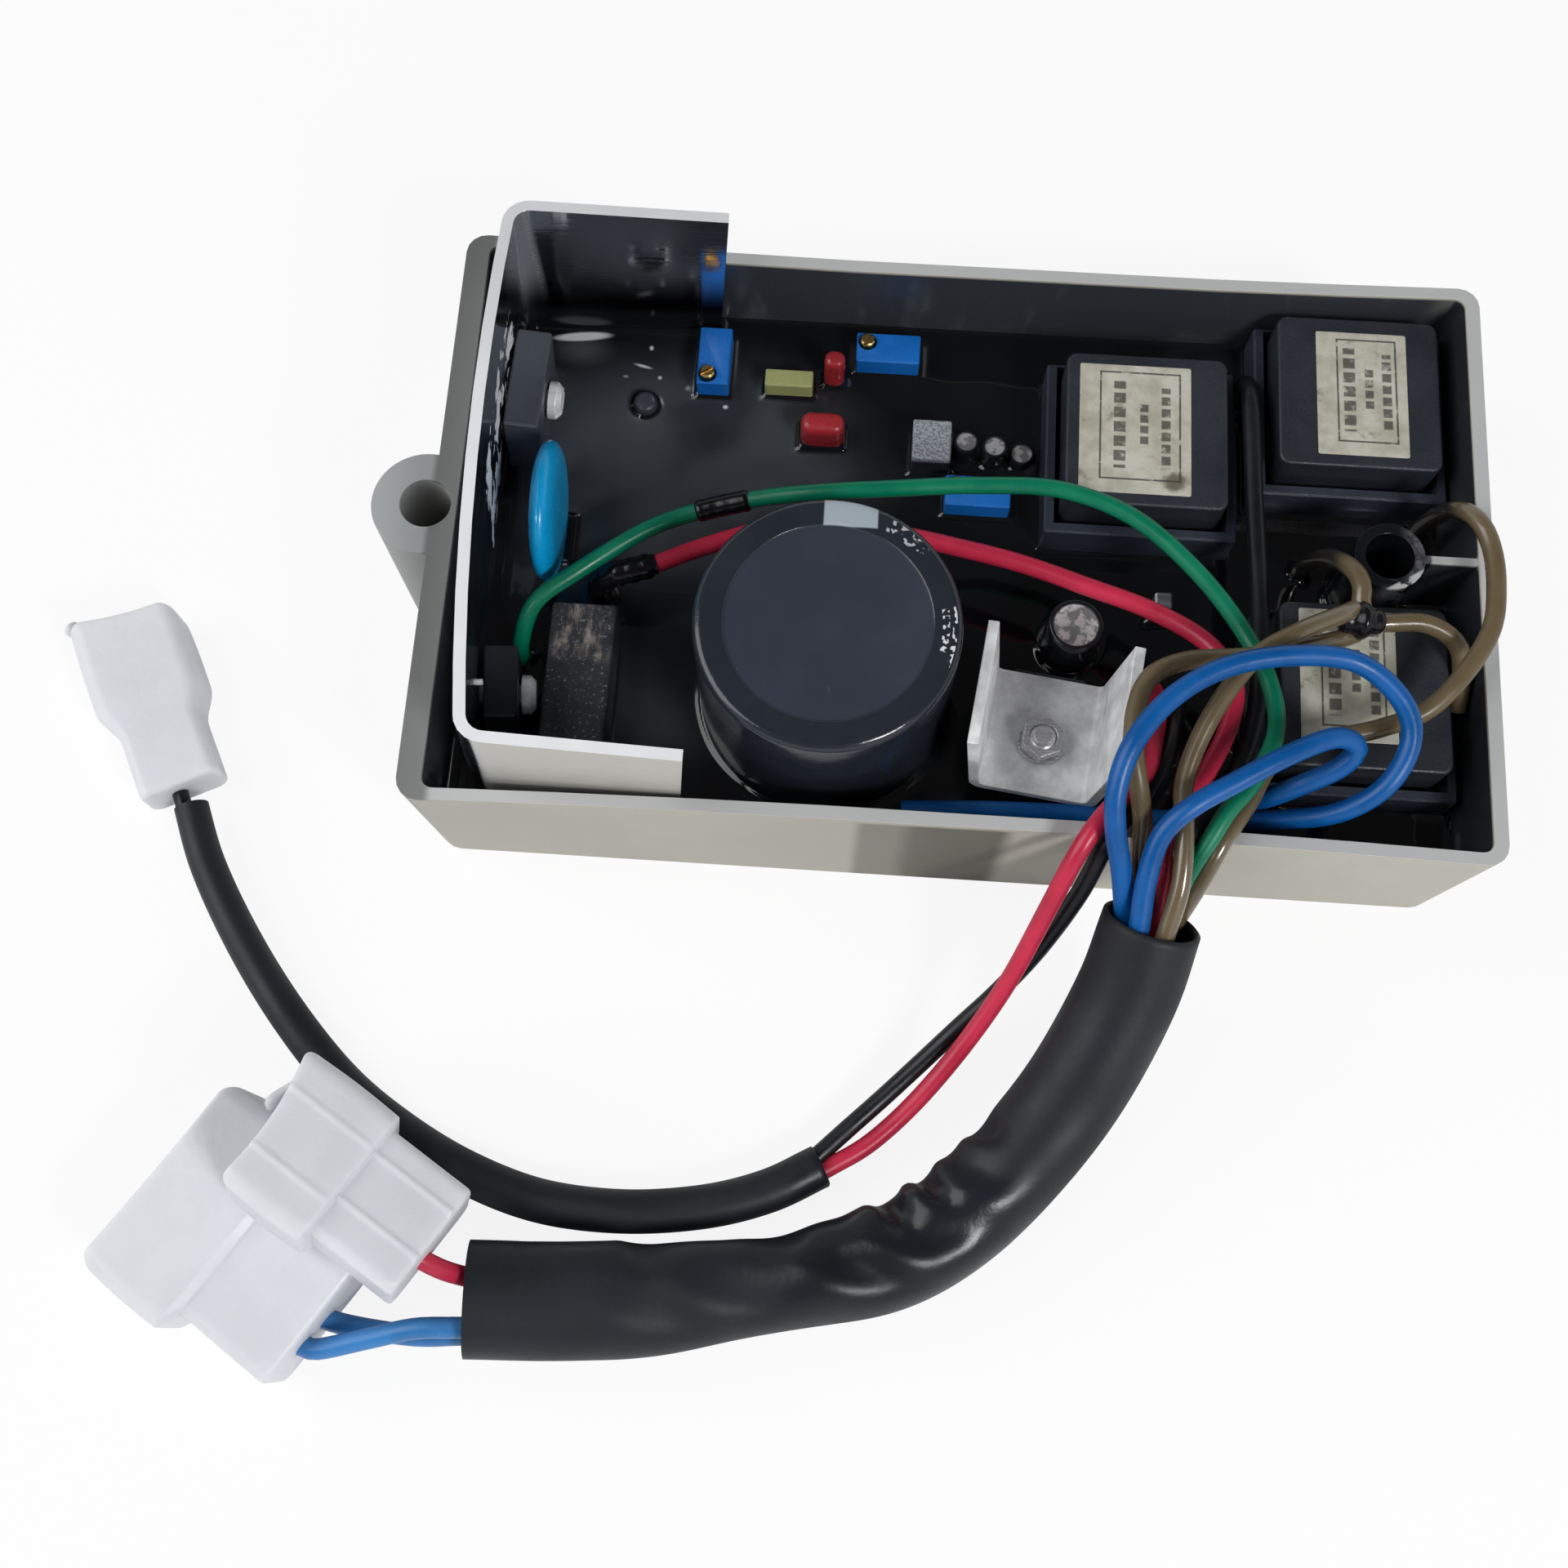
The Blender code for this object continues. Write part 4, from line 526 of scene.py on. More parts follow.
# Folds of the sleeves: way along in mm, angle in degrees, depth in mm (negative stands out), reach along
# and round, and how far the fold leans as it goes round
MAIN_FOLDS = [
    (37.8, 22, 1.7, 2.0, 26, 0.3), (43.5, 60, 0.5, 2.6, 40, 1.0), (47.0, 24, -0.9, 1.9, 24, 0.0),
    (50.0, 34, 1.2, 1.5, 30, 0.4), (53.3, 24, -0.9, 1.8, 24, 0.0), (53.0, 96, 0.9, 3.0, 26, 0.6),
    (48.0, 108, 0.35, 2.6, 40, 0.8), (57.0, 36, 1.3, 1.8, 34, 0.6), (58.0, 72, 0.5, 2.2, 36, 1.0),
    (63.0, 102, 0.9, 3.4, 26, 0.6), (62.0, 20, -0.5, 2.4, 26, 0.0), (68.5, 60, 0.5, 2.8, 40, 0.8),
    (74.0, 25, 1.0, 3.4, 34, 0.0), (80.0, 96, 0.6, 4.0, 30, 0.6), (84.0, 24, -0.4, 3.6, 30, 0.0),
    (93.0, 25, 0.9, 3.2, 32, 0.0), (90.0, 110, 0.5, 4.5, 32, 0.6), (102.0, 22, -0.5, 4.0, 30, 0.0),
    (70.0, 165, 0.4, 6.0, 30, 0.0), (28.0, 95, 0.35, 5.0, 36, 0.4)]
BRANCH_FOLDS = [(24, 60, 0.2, 5, 40, 0.4), (47, 120, 0.25, 6, 40, 0.4), (80, 80, 0.2, 7, 40, 0.4)]


def eased(share):
    """Smooth step of a share, held at 0 and 1."""
    share = np.clip(share, 0, 1)
    return share * share * (3 - 2 * share)


def sleeve_radius(along, sides, radius, folds, flat_from):
    """Radius by way along and angle: an ellipse that grows flatter from flat_from on, less a
    bell-shaped fold for each of folds, with a low ridge beside it."""
    angle = np.linspace(0, 2 * np.pi, sides, endpoint=False)[None, :]
    total = radius * (1 + 0.10 * eased((along - flat_from) / 30.0)[:, None] * np.cos(2 * angle))
    for place, degrees, depth, reach, spread, slant in folds:
        turn = ((np.degrees(angle) - degrees + 180) % 360 - 180) / spread
        lean = (along - place)[:, None] / reach + turn * slant
        total -= depth * np.exp(-lean ** 2 - turn ** 2)
        total += 0.30 * depth * np.exp(-(lean - 1.7) ** 2 * 1.6 - turn ** 2)
    return total * MM


def hollow_sleeve(name, path, radius, wall, depth, node):
    """Tube with an open first end: outside, lip and an inside wall that reaches depth in."""
    inner = int(np.searchsorted(way_along(path), depth))
    inside = upright_rings(path, radius - wall)[:inner][::-1]
    lip = upright_rings(path, radius - wall / 2)[:1] - unit(path[1] - path[0]) * wall * 0.4
    rings = np.concatenate([inside, lip, upright_rings(path, radius)], 0)
    return lofted(name, [rings], SLEEVE_PVC, "sleeve_black", node, 70.0)


def main_sleeve(pieces):
    """Sleeve narrowed at the collar and in a waist, folded in its bend."""
    path = curve(placed(ROUTES["sleeve_main"]), 0.0006)
    along = np.linspace(0, way_along(path)[-1] / MM, len(path))
    radius = sleeve_radius(along, 108, MAIN_SLEEVE * 500, MAIN_FOLDS, 70.0)
    narrow = 0.06 * np.exp(-along / 12) + 0.13 * np.exp(-((along - 80.0) / 9.0) ** 2)
    radius = np.minimum(radius * (1 - narrow)[:, None], WIDEST_SLEEVE_RADIUS)
    piece = hollow_sleeve("main_sleeve", path, radius, 0.0009, 0.016, "sleeve_main")


def branch_sleeve():
    """Thinner sleeve that tapers towards the connector and stops just before it, on its own wire."""
    path = curve(placed(ROUTES["sleeve_branch"]), 0.0009)
    along = np.linspace(0, way_along(path)[-1] / MM, len(path))
    radius = sleeve_radius(along, 40, BRANCH_SLEEVE * 500, BRANCH_FOLDS, 150.0)
    radius = radius * (1 - 0.19 * np.clip((along - 45.0) / 80.0, 0, 1))[:, None]
    keep = along < along[-1] - 1.4
    piece = hollow_sleeve("branch_sleeve_tube", path[keep], radius[keep], 0.0006, 0.006,
                          "sleeve_branch")
    inner = lengthened(path[-8:], 0.0, 0.002) + (-0.0009, -0.0005, 0.0)
    lead = lofted("branch_lead", [tube_rings(inner, LEAD / 2)], BLACK_PVC, "wire_black", None, 60.0)


def nylon_finish():
    """Milky nylon: light passes a little way in, and moulding flow shows as faint clouds."""
    colour = (0.66, 0.67, 0.71)
    made = Finish("milky_nylon", colour, 0.42, subsurface_weight=0.55, subsurface_scale=0.0030,
                  subsurface_radius=(1.0, 1.0, 1.0))
    cloud = made.noise(140.0, 4.0)
    made.feed(base_color=made.shades(cloud.rise(0.3, 0.7), colour, 0.97, 1.02),
              roughness=cloud.rise(0.3, 0.7, 0.36, 0.5))
    return made.bump(made.noise(700.0, 2.0), 0.00005)


NYLON = nylon_finish()

# Connectors in millimetres: middle of the wire end, heading, rise, roll; hood width, total length, hood
# height, neck width, neck length, neck height, shoulder; slant and hollow of the mouth, its corners
HOUSINGS = {
    "connector_two_way": ((-109.9, -37.4, 4.6), (117, 0, 0), (15.7, 29.2, 9.0, 11.8, 9.6, 7.4, 5.6),
                          (1.1, 0.7, 2.4)),
    "connector_four_way": ((-63.5, -100.0, 17.3), (147.5, 6, 12),
                           (19.6, 27.2, 14.0, 16.2, 12.6, 12.0, 0.9), (-1.2, 1.2, 1.4)),
    "connector_six_way": ((-77.6, -108.4, 7.0), (146.5, 0, 0),
                          (30.0, 29.8, 13.4, 23.6, 14.2, 11.6, 2.0), (0.0, 0.3, 2.6))}
NYLON_WALL = 1.2
BUTT_ROUND = 0.7
LIP_ROUND = 0.45


def housing_frame(node):
    """Place of a housing: +X along it from its wire end, +Y across it, in tray millimetres."""
    place, (heading, rise, roll) = HOUSINGS[node][:2]
    turns = [Matrix.Rotation(math.radians(value), 4, axis)
             for value, axis in ((heading, "Z"), (-rise, "Y"), (roll, "X"))]
    return Matrix.Translation(place) @ turns[0] @ turns[1] @ turns[2]


def housing_template(flat=56, arc=7):
    """Round a rectangle: share of its straight part in y and z, and the direction of its corner."""
    rows = []
    signs = np.array([(1, 1), (-1, 1), (-1, -1), (1, -1), (1, 1)], float)
    for quarter in range(4):
        angle = np.linspace(0, np.pi / 2, arc + 1) + quarter * np.pi / 2
        ways = np.stack([np.cos(angle), np.sin(angle)], -1)
        share = np.linspace(0, 1, flat + 2)[1:-1, None]
        straight = signs[quarter] + (signs[quarter + 1] - signs[quarter]) * share
        rows.append(np.hstack([np.broadcast_to(signs[quarter], ways.shape), ways]))
        rows.append(np.hstack([straight, np.broadcast_to(ways[-1], straight.shape)]))
    return np.vstack(rows)


def rounded_off(way_in, radius):
    """How far a quarter circle falls back: radius - sqrt(radius^2 - way_in^2), nothing before it."""
    return radius - np.sqrt(np.clip(radius ** 2 - np.maximum(way_in, 0) ** 2, 0, None))


def housing(node, ridges=()):
    """Hollow housing, one skin: neck, smooth shoulder, hood, lip and the inside of the mouth. Its mouth
    edge falls back by hollow (1 - (y/half)^2), leans by slant y/half and rounds off at its corners."""
    width, total, height, neck_width, neck_length, neck_height, shoulder = HOUSINGS[node][2]
    slant, hollow, round_off = HOUSINGS[node][3]
    hood = neck_length + shoulder
    x = np.concatenate([[0.0, 0.1, 0.3, 0.7, 1.2], np.linspace(2.0, neck_length, 6),
                        neck_length + shoulder * np.linspace(0.1, 1, 9),
                        np.linspace(hood + 0.8, total - 1.0, 8), total - np.array([0.5, 0.25, 0.1, 0.0])])
    share = eased((x - neck_length) / shoulder)
    butt = rounded_off(BUTT_ROUND - x, BUTT_ROUND)
    lip = rounded_off(x - total + LIP_ROUND, LIP_ROUND)
    bulge = 0.22 * np.sin(np.pi * np.clip((x - neck_length) / (total - neck_length), 0, 1))
    half_y = (neck_width + (width - neck_width) * share) / 2 - butt - lip + bulge
    half_z = (neck_height + (height - neck_height) * share) / 2 - butt - lip
    outer = len(x)
    inside_x = np.append(total - np.array([0.1, 0.5, 1.2, 4.0, 8.0]), hood + 1.2)
    half_y = np.append(half_y, width / 2 - NYLON_WALL + 0 * inside_x)
    half_z = np.append(half_z, height / 2 - NYLON_WALL + 0 * inside_x)
    corner = np.append(1.5 + 0.8 * share - lip, 1.1 + 0 * inside_x)
    x = np.append(x, inside_x)
    template = housing_template()
    y = template[:, 0] * (half_y - corner)[:, None] + template[:, 2] * corner[:, None]
    z = template[:, 1] * (half_z - corner)[:, None] + template[:, 3] * corner[:, None]
    for place, first, last, stand in ridges:
        along = (x > first) & (x < last) & (np.arange(len(x)) < outer)
        top = (template[:, 3] > 0.99) & along[:, None]
        z = z + top * stand * np.exp(-((y - place) / 0.42) ** 4)
    reach = np.clip((x - hood) / (total - hood), 0, 1)[:, None]
    across = np.clip(y / (width / 2), -1, 1)
    back = hollow * (1 - across ** 2) - slant * across
    back = back + rounded_off(np.abs(y) - (width / 2 - round_off), round_off)
    rings = placed(np.stack([x[:, None] - back * reach ** 3, y, z], -1), housing_frame(node))
    return lofted(f"{node}_housing", [rings], NYLON, "nylon_white", node)


def finger(name, node, route, radius):
    """Latch finger along points in its housing's frame, with a rounded knob at its end."""
    path = curve(route, 0.3)
    share = np.linspace(0, 1, len(path))[:, None]
    size = radius * (1 + 0.45 * np.exp(-((share - 0.84) / 0.16) ** 2))
    size = size * np.sqrt(np.clip(1 - np.clip((share - 0.88) / 0.12, 0, 0.995) ** 2, 0, 1))
    rings = placed(tube_rings(path, size, 20), housing_frame(node))
    return lofted(name, [rings], NYLON, "nylon_white", None, 60.0)


def tape_on_green():
    """Black tape wound on the green wire where it passes the capacitor: four turns that step up, with
    closed-in ends."""
    path = curve(placed(ROUTES["wire_green"]), 0.0004)
    x = path[:, 0] - TRAY_X
    path = path[(x > -0.0372) & (x < -0.0292)]
    share = np.linspace(0, 1, len(path))[:, None]
    angle = np.linspace(0, 2 * np.pi, 24, endpoint=False)[None, :]
    winding = 0.06 * np.abs((share * 4.0 + angle / (2 * np.pi)) % 1 - 0.5)
    ends = np.minimum(1, np.minimum(share, 1 - share) * 14 + 0.72)
    rings = tube_rings(path, 0.0015 * (1 + winding) * ends, 24)
    return lofted("tape_by_capacitor", [rings], SHRINK_PVC, "sleeve_black", None, 50.0)


def shrink_on_red():
    """Shrunk tube over the red wire's joint, uneven along its length."""
    path = curve(placed(ROUTES["shrink_sleeve_red"]), 0.0006)
    share = np.linspace(0, 1, len(path))[:, None]
    radius = RED_SHRINK / 2 * (1 - 0.10 * np.sin(share * 21) ** 2 - 0.12 * (share > 0.93))
    rings = tube_rings(lengthened(path, INTO_RESIN), np.vstack([radius[:2], radius]), 24)
    return lofted("shrink_tube_on_red", [rings], SHRINK_PVC, "sleeve_black", "shrink_sleeve_red", 60.0)


def joint_wrap():
    """Glossy bundle round the joint of the brown wires: a bead with three soft swellings."""
    path = placed(np.linspace((50.6, -10.9, 31.6), (57.4, -11.0, 31.3), 40))
    share = np.linspace(0, 1, 40)[:, None]
    swell = np.sqrt(np.clip(1 - (2 * share - 1) ** 2, 0.02, 1))
    radius = 0.0026 * swell * (0.92 + 0.10 * np.sin(share * 15.0))
    rings = tube_rings(path, radius, 28)
    return lofted("joint_wrap", [rings], SHRINK_PVC, "sleeve_black", None, 80.0)


INTO_SLEEVE = 0.007
INTO_RESIN = 0.0015
INTO_STUB = 0.002
BLUE_WIRE = 0.0028
THIN_WIRE = 0.0026

# Wires: diameter, finish, and how far their ends are carried into what hides them
WIRES = {
    "wire_green": (0.0024, GREEN_PVC, INTO_RESIN, INTO_SLEEVE),
    "wire_red_main": (THIN_WIRE, RED_PVC, 0.004, INTO_SLEEVE),
    "wire_red_branch": (THIN_WIRE, RED_PVC, INTO_RESIN, 0.0018),
    "wire_black_branch": (THIN_WIRE, BLACK_PVC, INTO_RESIN, 0.004),
    "wire_black_main": (THIN_WIRE, BLACK_PVC, INTO_RESIN, INTO_SLEEVE),
    "wire_blue_1": (BLUE_WIRE, BLUE_PVC, INTO_SLEEVE, 0.003),
    "wire_blue_2": (BLUE_WIRE, BLUE_PVC, INTO_SLEEVE, INTO_RESIN),
    "wire_brown_outer": (THIN_WIRE, BROWN_PVC, INTO_RESIN, INTO_SLEEVE),
    "wire_brown_bridge": (THIN_WIRE, BROWN_PVC, INTO_RESIN, 0.0),
    "wire_brown_tape_1": (THIN_WIRE, BROWN_PVC, 0.001, INTO_SLEEVE),
    "wire_brown_tape_2": (THIN_WIRE, BROWN_PVC, 0.001, INTO_SLEEVE)}
STUBS = {
    "stub_blue_1": (BLUE_WIRE, PALE_BLUE_PVC, INTO_STUB, 0.0),
    "stub_blue_2": (BLUE_WIRE, PALE_BLUE_PVC, INTO_STUB, 0.0),
    "stub_red": (THIN_WIRE, RED_PVC, INTO_STUB, 0.0)}

# Lines moulded on the four-way housing: place across, from and to along it, stand
FOUR_WAY_LINES = [(-4.2, 0.1, 12.9, 0.28), (2.7, 0.1, 12.9, 0.28), (-4.4, 14.2, 29.5, 0.22),
                  (4.0, 14.2, 29.5, 0.22)]


def wire(name, diameter, finish, before, after):
    """Insulated wire: an even tube along its route, its ends carried on. Gives its start and path too."""
    path = curve(placed(ROUTES[name]), 0.0012)
    drawn = lengthened(path, before, after)
    piece = lofted(f"{name}_insulation", [tube_rings(drawn, diameter / 2)], finish,
                   "wire_" + name.split("_")[1], name, 60.0)
    return piece, path[0], drawn


def connectors_and_cords():
    """Wires first, then the connectors, then the sleeves that they belong to."""
    held = {"wire_green": [tape_on_green()], "wire_red_main": [shrink_on_red()]}
    for name, spec in WIRES.items():
        if name == "wire_brown_bridge":
            held[name] = [joint_wrap()]
        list(wire(name, *spec))
    stubs = [wire(name, *spec)[0] for name, spec in STUBS.items()]
    two_way = housing("connector_two_way")
    four_way = housing("connector_four_way", FOUR_WAY_LINES)
    six_way = housing("connector_six_way")
    knob = finger("two_way_latch", "connector_two_way",
                  [(27.0, 6.8, 0.0), (29.0, 7.0, 0.0), (30.6, 7.6, 0.0), (31.9, 8.3, 0.0)], 0.85)
    bar = finger("four_way_latch", "connector_four_way",
                 [(25.6, -8.6, -1.0), (27.0, -7.6, -1.6), (28.4, -4.6, -2.4), (28.8, -1.6, -3.0)], 0.75)
    main_sleeve(stubs + [four_way, six_way, bar])
    branch_sleeve()


connectors_and_cords()


# Tray and resin

BOSS = (59.3, 0.2)
BOSS_HOLE = 4.1
CLIMB_REACH = 0.6


def tray_finish():
    """Grey moulding: mottled; a painted shadow on its front wall; painted shade on its left end and ear,
    deeper on its left rim; dark, streaked walls inside the cavity, darkest on the right, a pale rib top
    and black resin on its boss, where it stands in the pour."""
    colour = (0.475, 0.457, 0.398)
    made = Finish("grey_moulding", colour, 0.5)
    x, y, z = made.axes()
    broad = made.noise(45.0, 4.0)
    at_rim = z.rise(0.0278, 0.0283)
    up = made.facing_up().rise(0.7, 0.95)
    # Painted shadow on the front wall, deepening to the right and stopping below the rim.
    front_wall_shadow = x.rise(-0.0086, -0.0066) * 0.62 + x.rise(-0.0026, 0.0006) * 0.28
    front_wall_shadow = front_wall_shadow * x.fall(0.0112, 0.0140) * z.fall(0.0268, 0.0281) * y.fall(-0.0422, -0.0418)
    # Painted shade on the left rim's top.
    left_rim_shade = x.fall(-0.0655, -0.0640) * x.rise(-0.0702, -0.0690) * at_rim
    # Inside the cavity, up to the rim, the walls are dark and streaked, darker on the right wall.
    inside = made.near(0.7, 0.0, 70.9, 41.3, 0.3) * z.fall(0.0278, 0.0283)
    streak = made.noise(300.0, 4.0, 0.6, made.stretched(0.5, 1.0, 0.15)).rise(0.55, 0.80)
    wall = made.mix(streak, (0.036, 0.042, 0.049), (0.085, 0.095, 0.106))
    wall = made.mix(x.rise(0.0725, 0.0740) * 0.6, wall, (0.012, 0.014, 0.018))
    boss_x, boss_y = made.away(*BOSS)
    worn = made.noise(330.0, 3.0).rise(0.47, 0.53) * (boss_x * 0.8 - boss_y * 1.3).rise(5.6, 6.1)
    coat = made.spot(*BOSS).fall(5.6, 6.0) * (1.0 - worn)
    rib = abs(boss_y).fall(0.9, 1.2) * boss_x.rise(4.5, 5.2) * z.rise(0.0274, 0.0279)
    rib = rib * x.fall(0.0756, 0.0760) * x.rise(0.0700, 0.0745, 0.22, 0.75)
    skin = made.mix(streak, (0.005, 0.006, 0.008), (0.090, 0.088, 0.100))
    scuffed = up * boss_x.rise(1.0, 4.0) * made.noise(1100.0, 3.0).rise(0.38, 0.58, 0.35, 1.0)
    skin = made.mix(scuffed, skin, (0.090, 0.088, 0.104))
    tone = made.shades(broad.rise(0.35, 0.68), colour, 0.93, 1.06)
    tone = made.coated(
        tone, (front_wall_shadow, (0.10, 0.095, 0.07)), (up * at_rim, (0.440, 0.447, 0.448)),
        # painted shade over the left end and the ear, deeper on the left rim
        (x.fall(-0.0690, -0.0660) * 0.85, (0.315, 0.330, 0.330)), (left_rim_shade * 0.85, (0.125, 0.130, 0.125)),
        (inside, wall), (rib, (0.50, 0.51, 0.52)), (coat, skin))
    wet = coat.highest(inside * 0.7)
    made.feed(base_color=tone, roughness=broad.rise(0.3, 0.7, 0.46, 0.60) - wet * 0.30)
    return made.bump(made.noise(1800.0, 2.0), 0.00002)


softened("tray", "tray_moulding", tray_finish(), 0.00035)

# Painted pale highlights on the resin in tray millimetres: middle, reaches, lean, soft from, strength
RESIN_PAINTED_HIGHLIGHTS = [
    (-57.7, 36.1, 5.2, 0.9, 0.10, 0.55, 0.80), (-47.0, 34.8, 0.45, 0.55, 0.0, 0.2, 0.75),
    (-48.0, 31.6, 1.80, 0.38, -0.22, 0.2, 0.70), (-50.5, 29.7, 0.60, 0.35, 0.0, 0.2, 0.30),
    (-45.3, 29.8, 0.45, 0.45, 0.0, 0.2, 0.60), (-40.9, 28.3, 0.60, 0.65, 0.0, 0.2, 0.22),
    (-35.0, 25.5, 0.55, 0.45, 0.0, 0.2, 0.75)]


def resin_finish():
    """Poured black resin: glossy, with dull grey patches, and a painted pale streak, glow and glints."""
    colour = (0.0045, 0.0050, 0.0066)
    made = Finish("black_resin", colour, 0.07)
    cloud = made.noise(60.0, 2.0, 0.5)
    specks = made.noise(2600.0, 2.0).rise(0.74, 0.80) * 0.30
    # Dull grey patches, paler and rougher, over the middle and near one corner.
    middle = made.spot(-41.3, 13.0, 30.0, 23.0).fall(0.45, 1.20)
    corner = made.spot(-44.3, -27.0, 11.0, 16.0).rise(0.30, 1.20, 0.40, 0.0)
    level = made.axis("Z").fall(0.01362, 0.01385)
    dull = (middle + corner) * cloud.rise(0.25, 0.55, 0.35, 1.0) * level
    # Painted highlights: a faint glow below the streak, then the streak and glints of the table.
    painted_highlights = made.spot(-57.7, 34.0, 6.2, 3.6).rise(0.1, 1.0, 0.07, 0.0)
    for *spot, low, strength in RESIN_PAINTED_HIGHLIGHTS:
        painted_highlights = painted_highlights.highest(made.spot(*spot).rise(low, 1.0, strength, 0.0))
    tone = made.coated(made.mix(dull, colour, (0.052, 0.060, 0.072)), (specks, (0.16, 0.16, 0.16)),
                       (painted_highlights, (0.82, 0.85, 0.88)))
    return made.feed(base_color=tone, roughness=dull * 0.40 + specks * 0.4 + 0.05)


# What stands in the resin, in tray millimetres: middle, half sizes, turn in degrees, climb of the resin
STANDING_BLOCKS = [
    (26.4, 18.6, 13.8, 13.6, 0, 0.9), (56.9, 26.6, 13.8, 13.6, 0, 0.9), (56.4, -18.6, 13.8, 13.6, 0, 0.9),
    (-37.0, 31.9, 2.4, 4.8, 0, 1.2), (-11.0, 34.8, 4.8, 2.4, 0, 1.2), (3.2, 12.0, 4.8, 2.4, 0, 1.2),
    (-52.0, -21.4, 4.6, 10.8, 0, 0.7), (-25.6, 29.1, 3.6, 1.4, 0, 1.3), (-18.9, 31.2, 1.5, 1.4, 0, 1.4),
    (-20.1, 21.2, 3.2, 1.8, 0, 1.5), (-3.9, 19.4, 2.9, 3.3, 0, 1.2), (30.1, -4.2, 1.3, 1.3, 0, 1.2),
    (13.4, -23.4, 5.0, 7.1, -7.5, 1.0), (-66.3, -0.4, 1.0, 39.5, 0, 0.6), (-51.5, 39.1, 14.8, 1.0, 0, 1.6),
    (-51.5, -39.1, 14.8, 1.0, 0, 1.0), (65.4, 0.2, 6.0, 0.6, 0, 1.0), (-58.2, 2.3, 2.4, 3.6, 0, 1.3)]
STANDING_DRUMS = [
    (-17.5, -19.5, 17.6, 0.9), (17.1, -10.4, 4.0, 1.5), (1.2, 19.7, 1.85, 1.1), (5.4, 19.2, 1.85, 1.1),
    (9.6, 19.3, 1.85, 1.1), (-47.0, 24.8, 1.8, 1.3), (*BOSS, 4.9, 1.6), (-60.9, -17.0, 1.2, 1.2),
    (-50.5, -6.6, 1.9, 1.3), (28.2, -16.5, 1.3, 1.0), (31.8, -17.8, 1.3, 1.0), (41.65, 31.0, 1.3, 1.2),
    (66.8, 9.5, 1.3, 1.0), (50.6, 3.6, 1.3, 1.2), (40.0, -33.2, 1.4, 1.0)]


def resin():
    """Height over a grid that fills the cavity: level, and half of each thing's climb times
    exp(-gap / CLIMB_REACH) beside it, the largest of them, with slow waves of a few hundredths."""
    left, right, half_y, bow = -69.95, 71.35, 41.3, 0.47
    side = np.linspace(-1, 1, 275)[None, :]
    x = left + (right - left) * np.linspace(0, 1, 470)[:, None] + 0 * side
    reach = half_y - bow * (1 - ((x - (left + right) / 2) / ((right - left) / 2)) ** 2)
    y = side * reach
    gap = np.minimum(np.minimum(x - left, right - x), reach - np.abs(y))
    climb = 0.8 * np.exp(-np.maximum(gap, 0) / CLIMB_REACH)
    for middle_x, middle_y, half_w, half_d, turn, rise in STANDING_BLOCKS:
        cos, sin = math.cos(math.radians(turn)), math.sin(math.radians(turn))
        u = (x - middle_x) * cos + (y - middle_y) * sin
        v = (y - middle_y) * cos - (x - middle_x) * sin
        gap = np.hypot(np.maximum(np.abs(u) - half_w, 0), np.maximum(np.abs(v) - half_d, 0))
        climb = np.maximum(climb, rise * np.exp(-gap / CLIMB_REACH))
    for middle_x, middle_y, radius, rise in STANDING_DRUMS:
        gap = np.maximum(np.hypot(x - middle_x, y - middle_y) - radius, 0)
        climb = np.maximum(climb, rise * np.exp(-gap / CLIMB_REACH))
    waves = (0.05 * np.sin(x / 5.1 + 1.3 * np.sin(y / 7.3)) + 0.04 * np.sin(y / 4.2 + x / 9.0)
             + 0.02 * np.sin(x / 1.9 - y / 2.7))
    points = np.stack([x, y, RESIN_TOP + climb * 0.5 + waves], -1).reshape(-1, 3)
    faces = grid_faces(np.arange(x.size).reshape(x.shape))[:, ::-1]
    centre = points[faces].mean(1)
    faces = faces[np.hypot(centre[:, 0] - BOSS[0], centre[:, 1] - BOSS[1]) > BOSS_HOLE]
    piece = piece_from("poured_resin", placed(points), [faces], resin_finish())
    settle(piece, "potting_compound")


resin()


# Metal

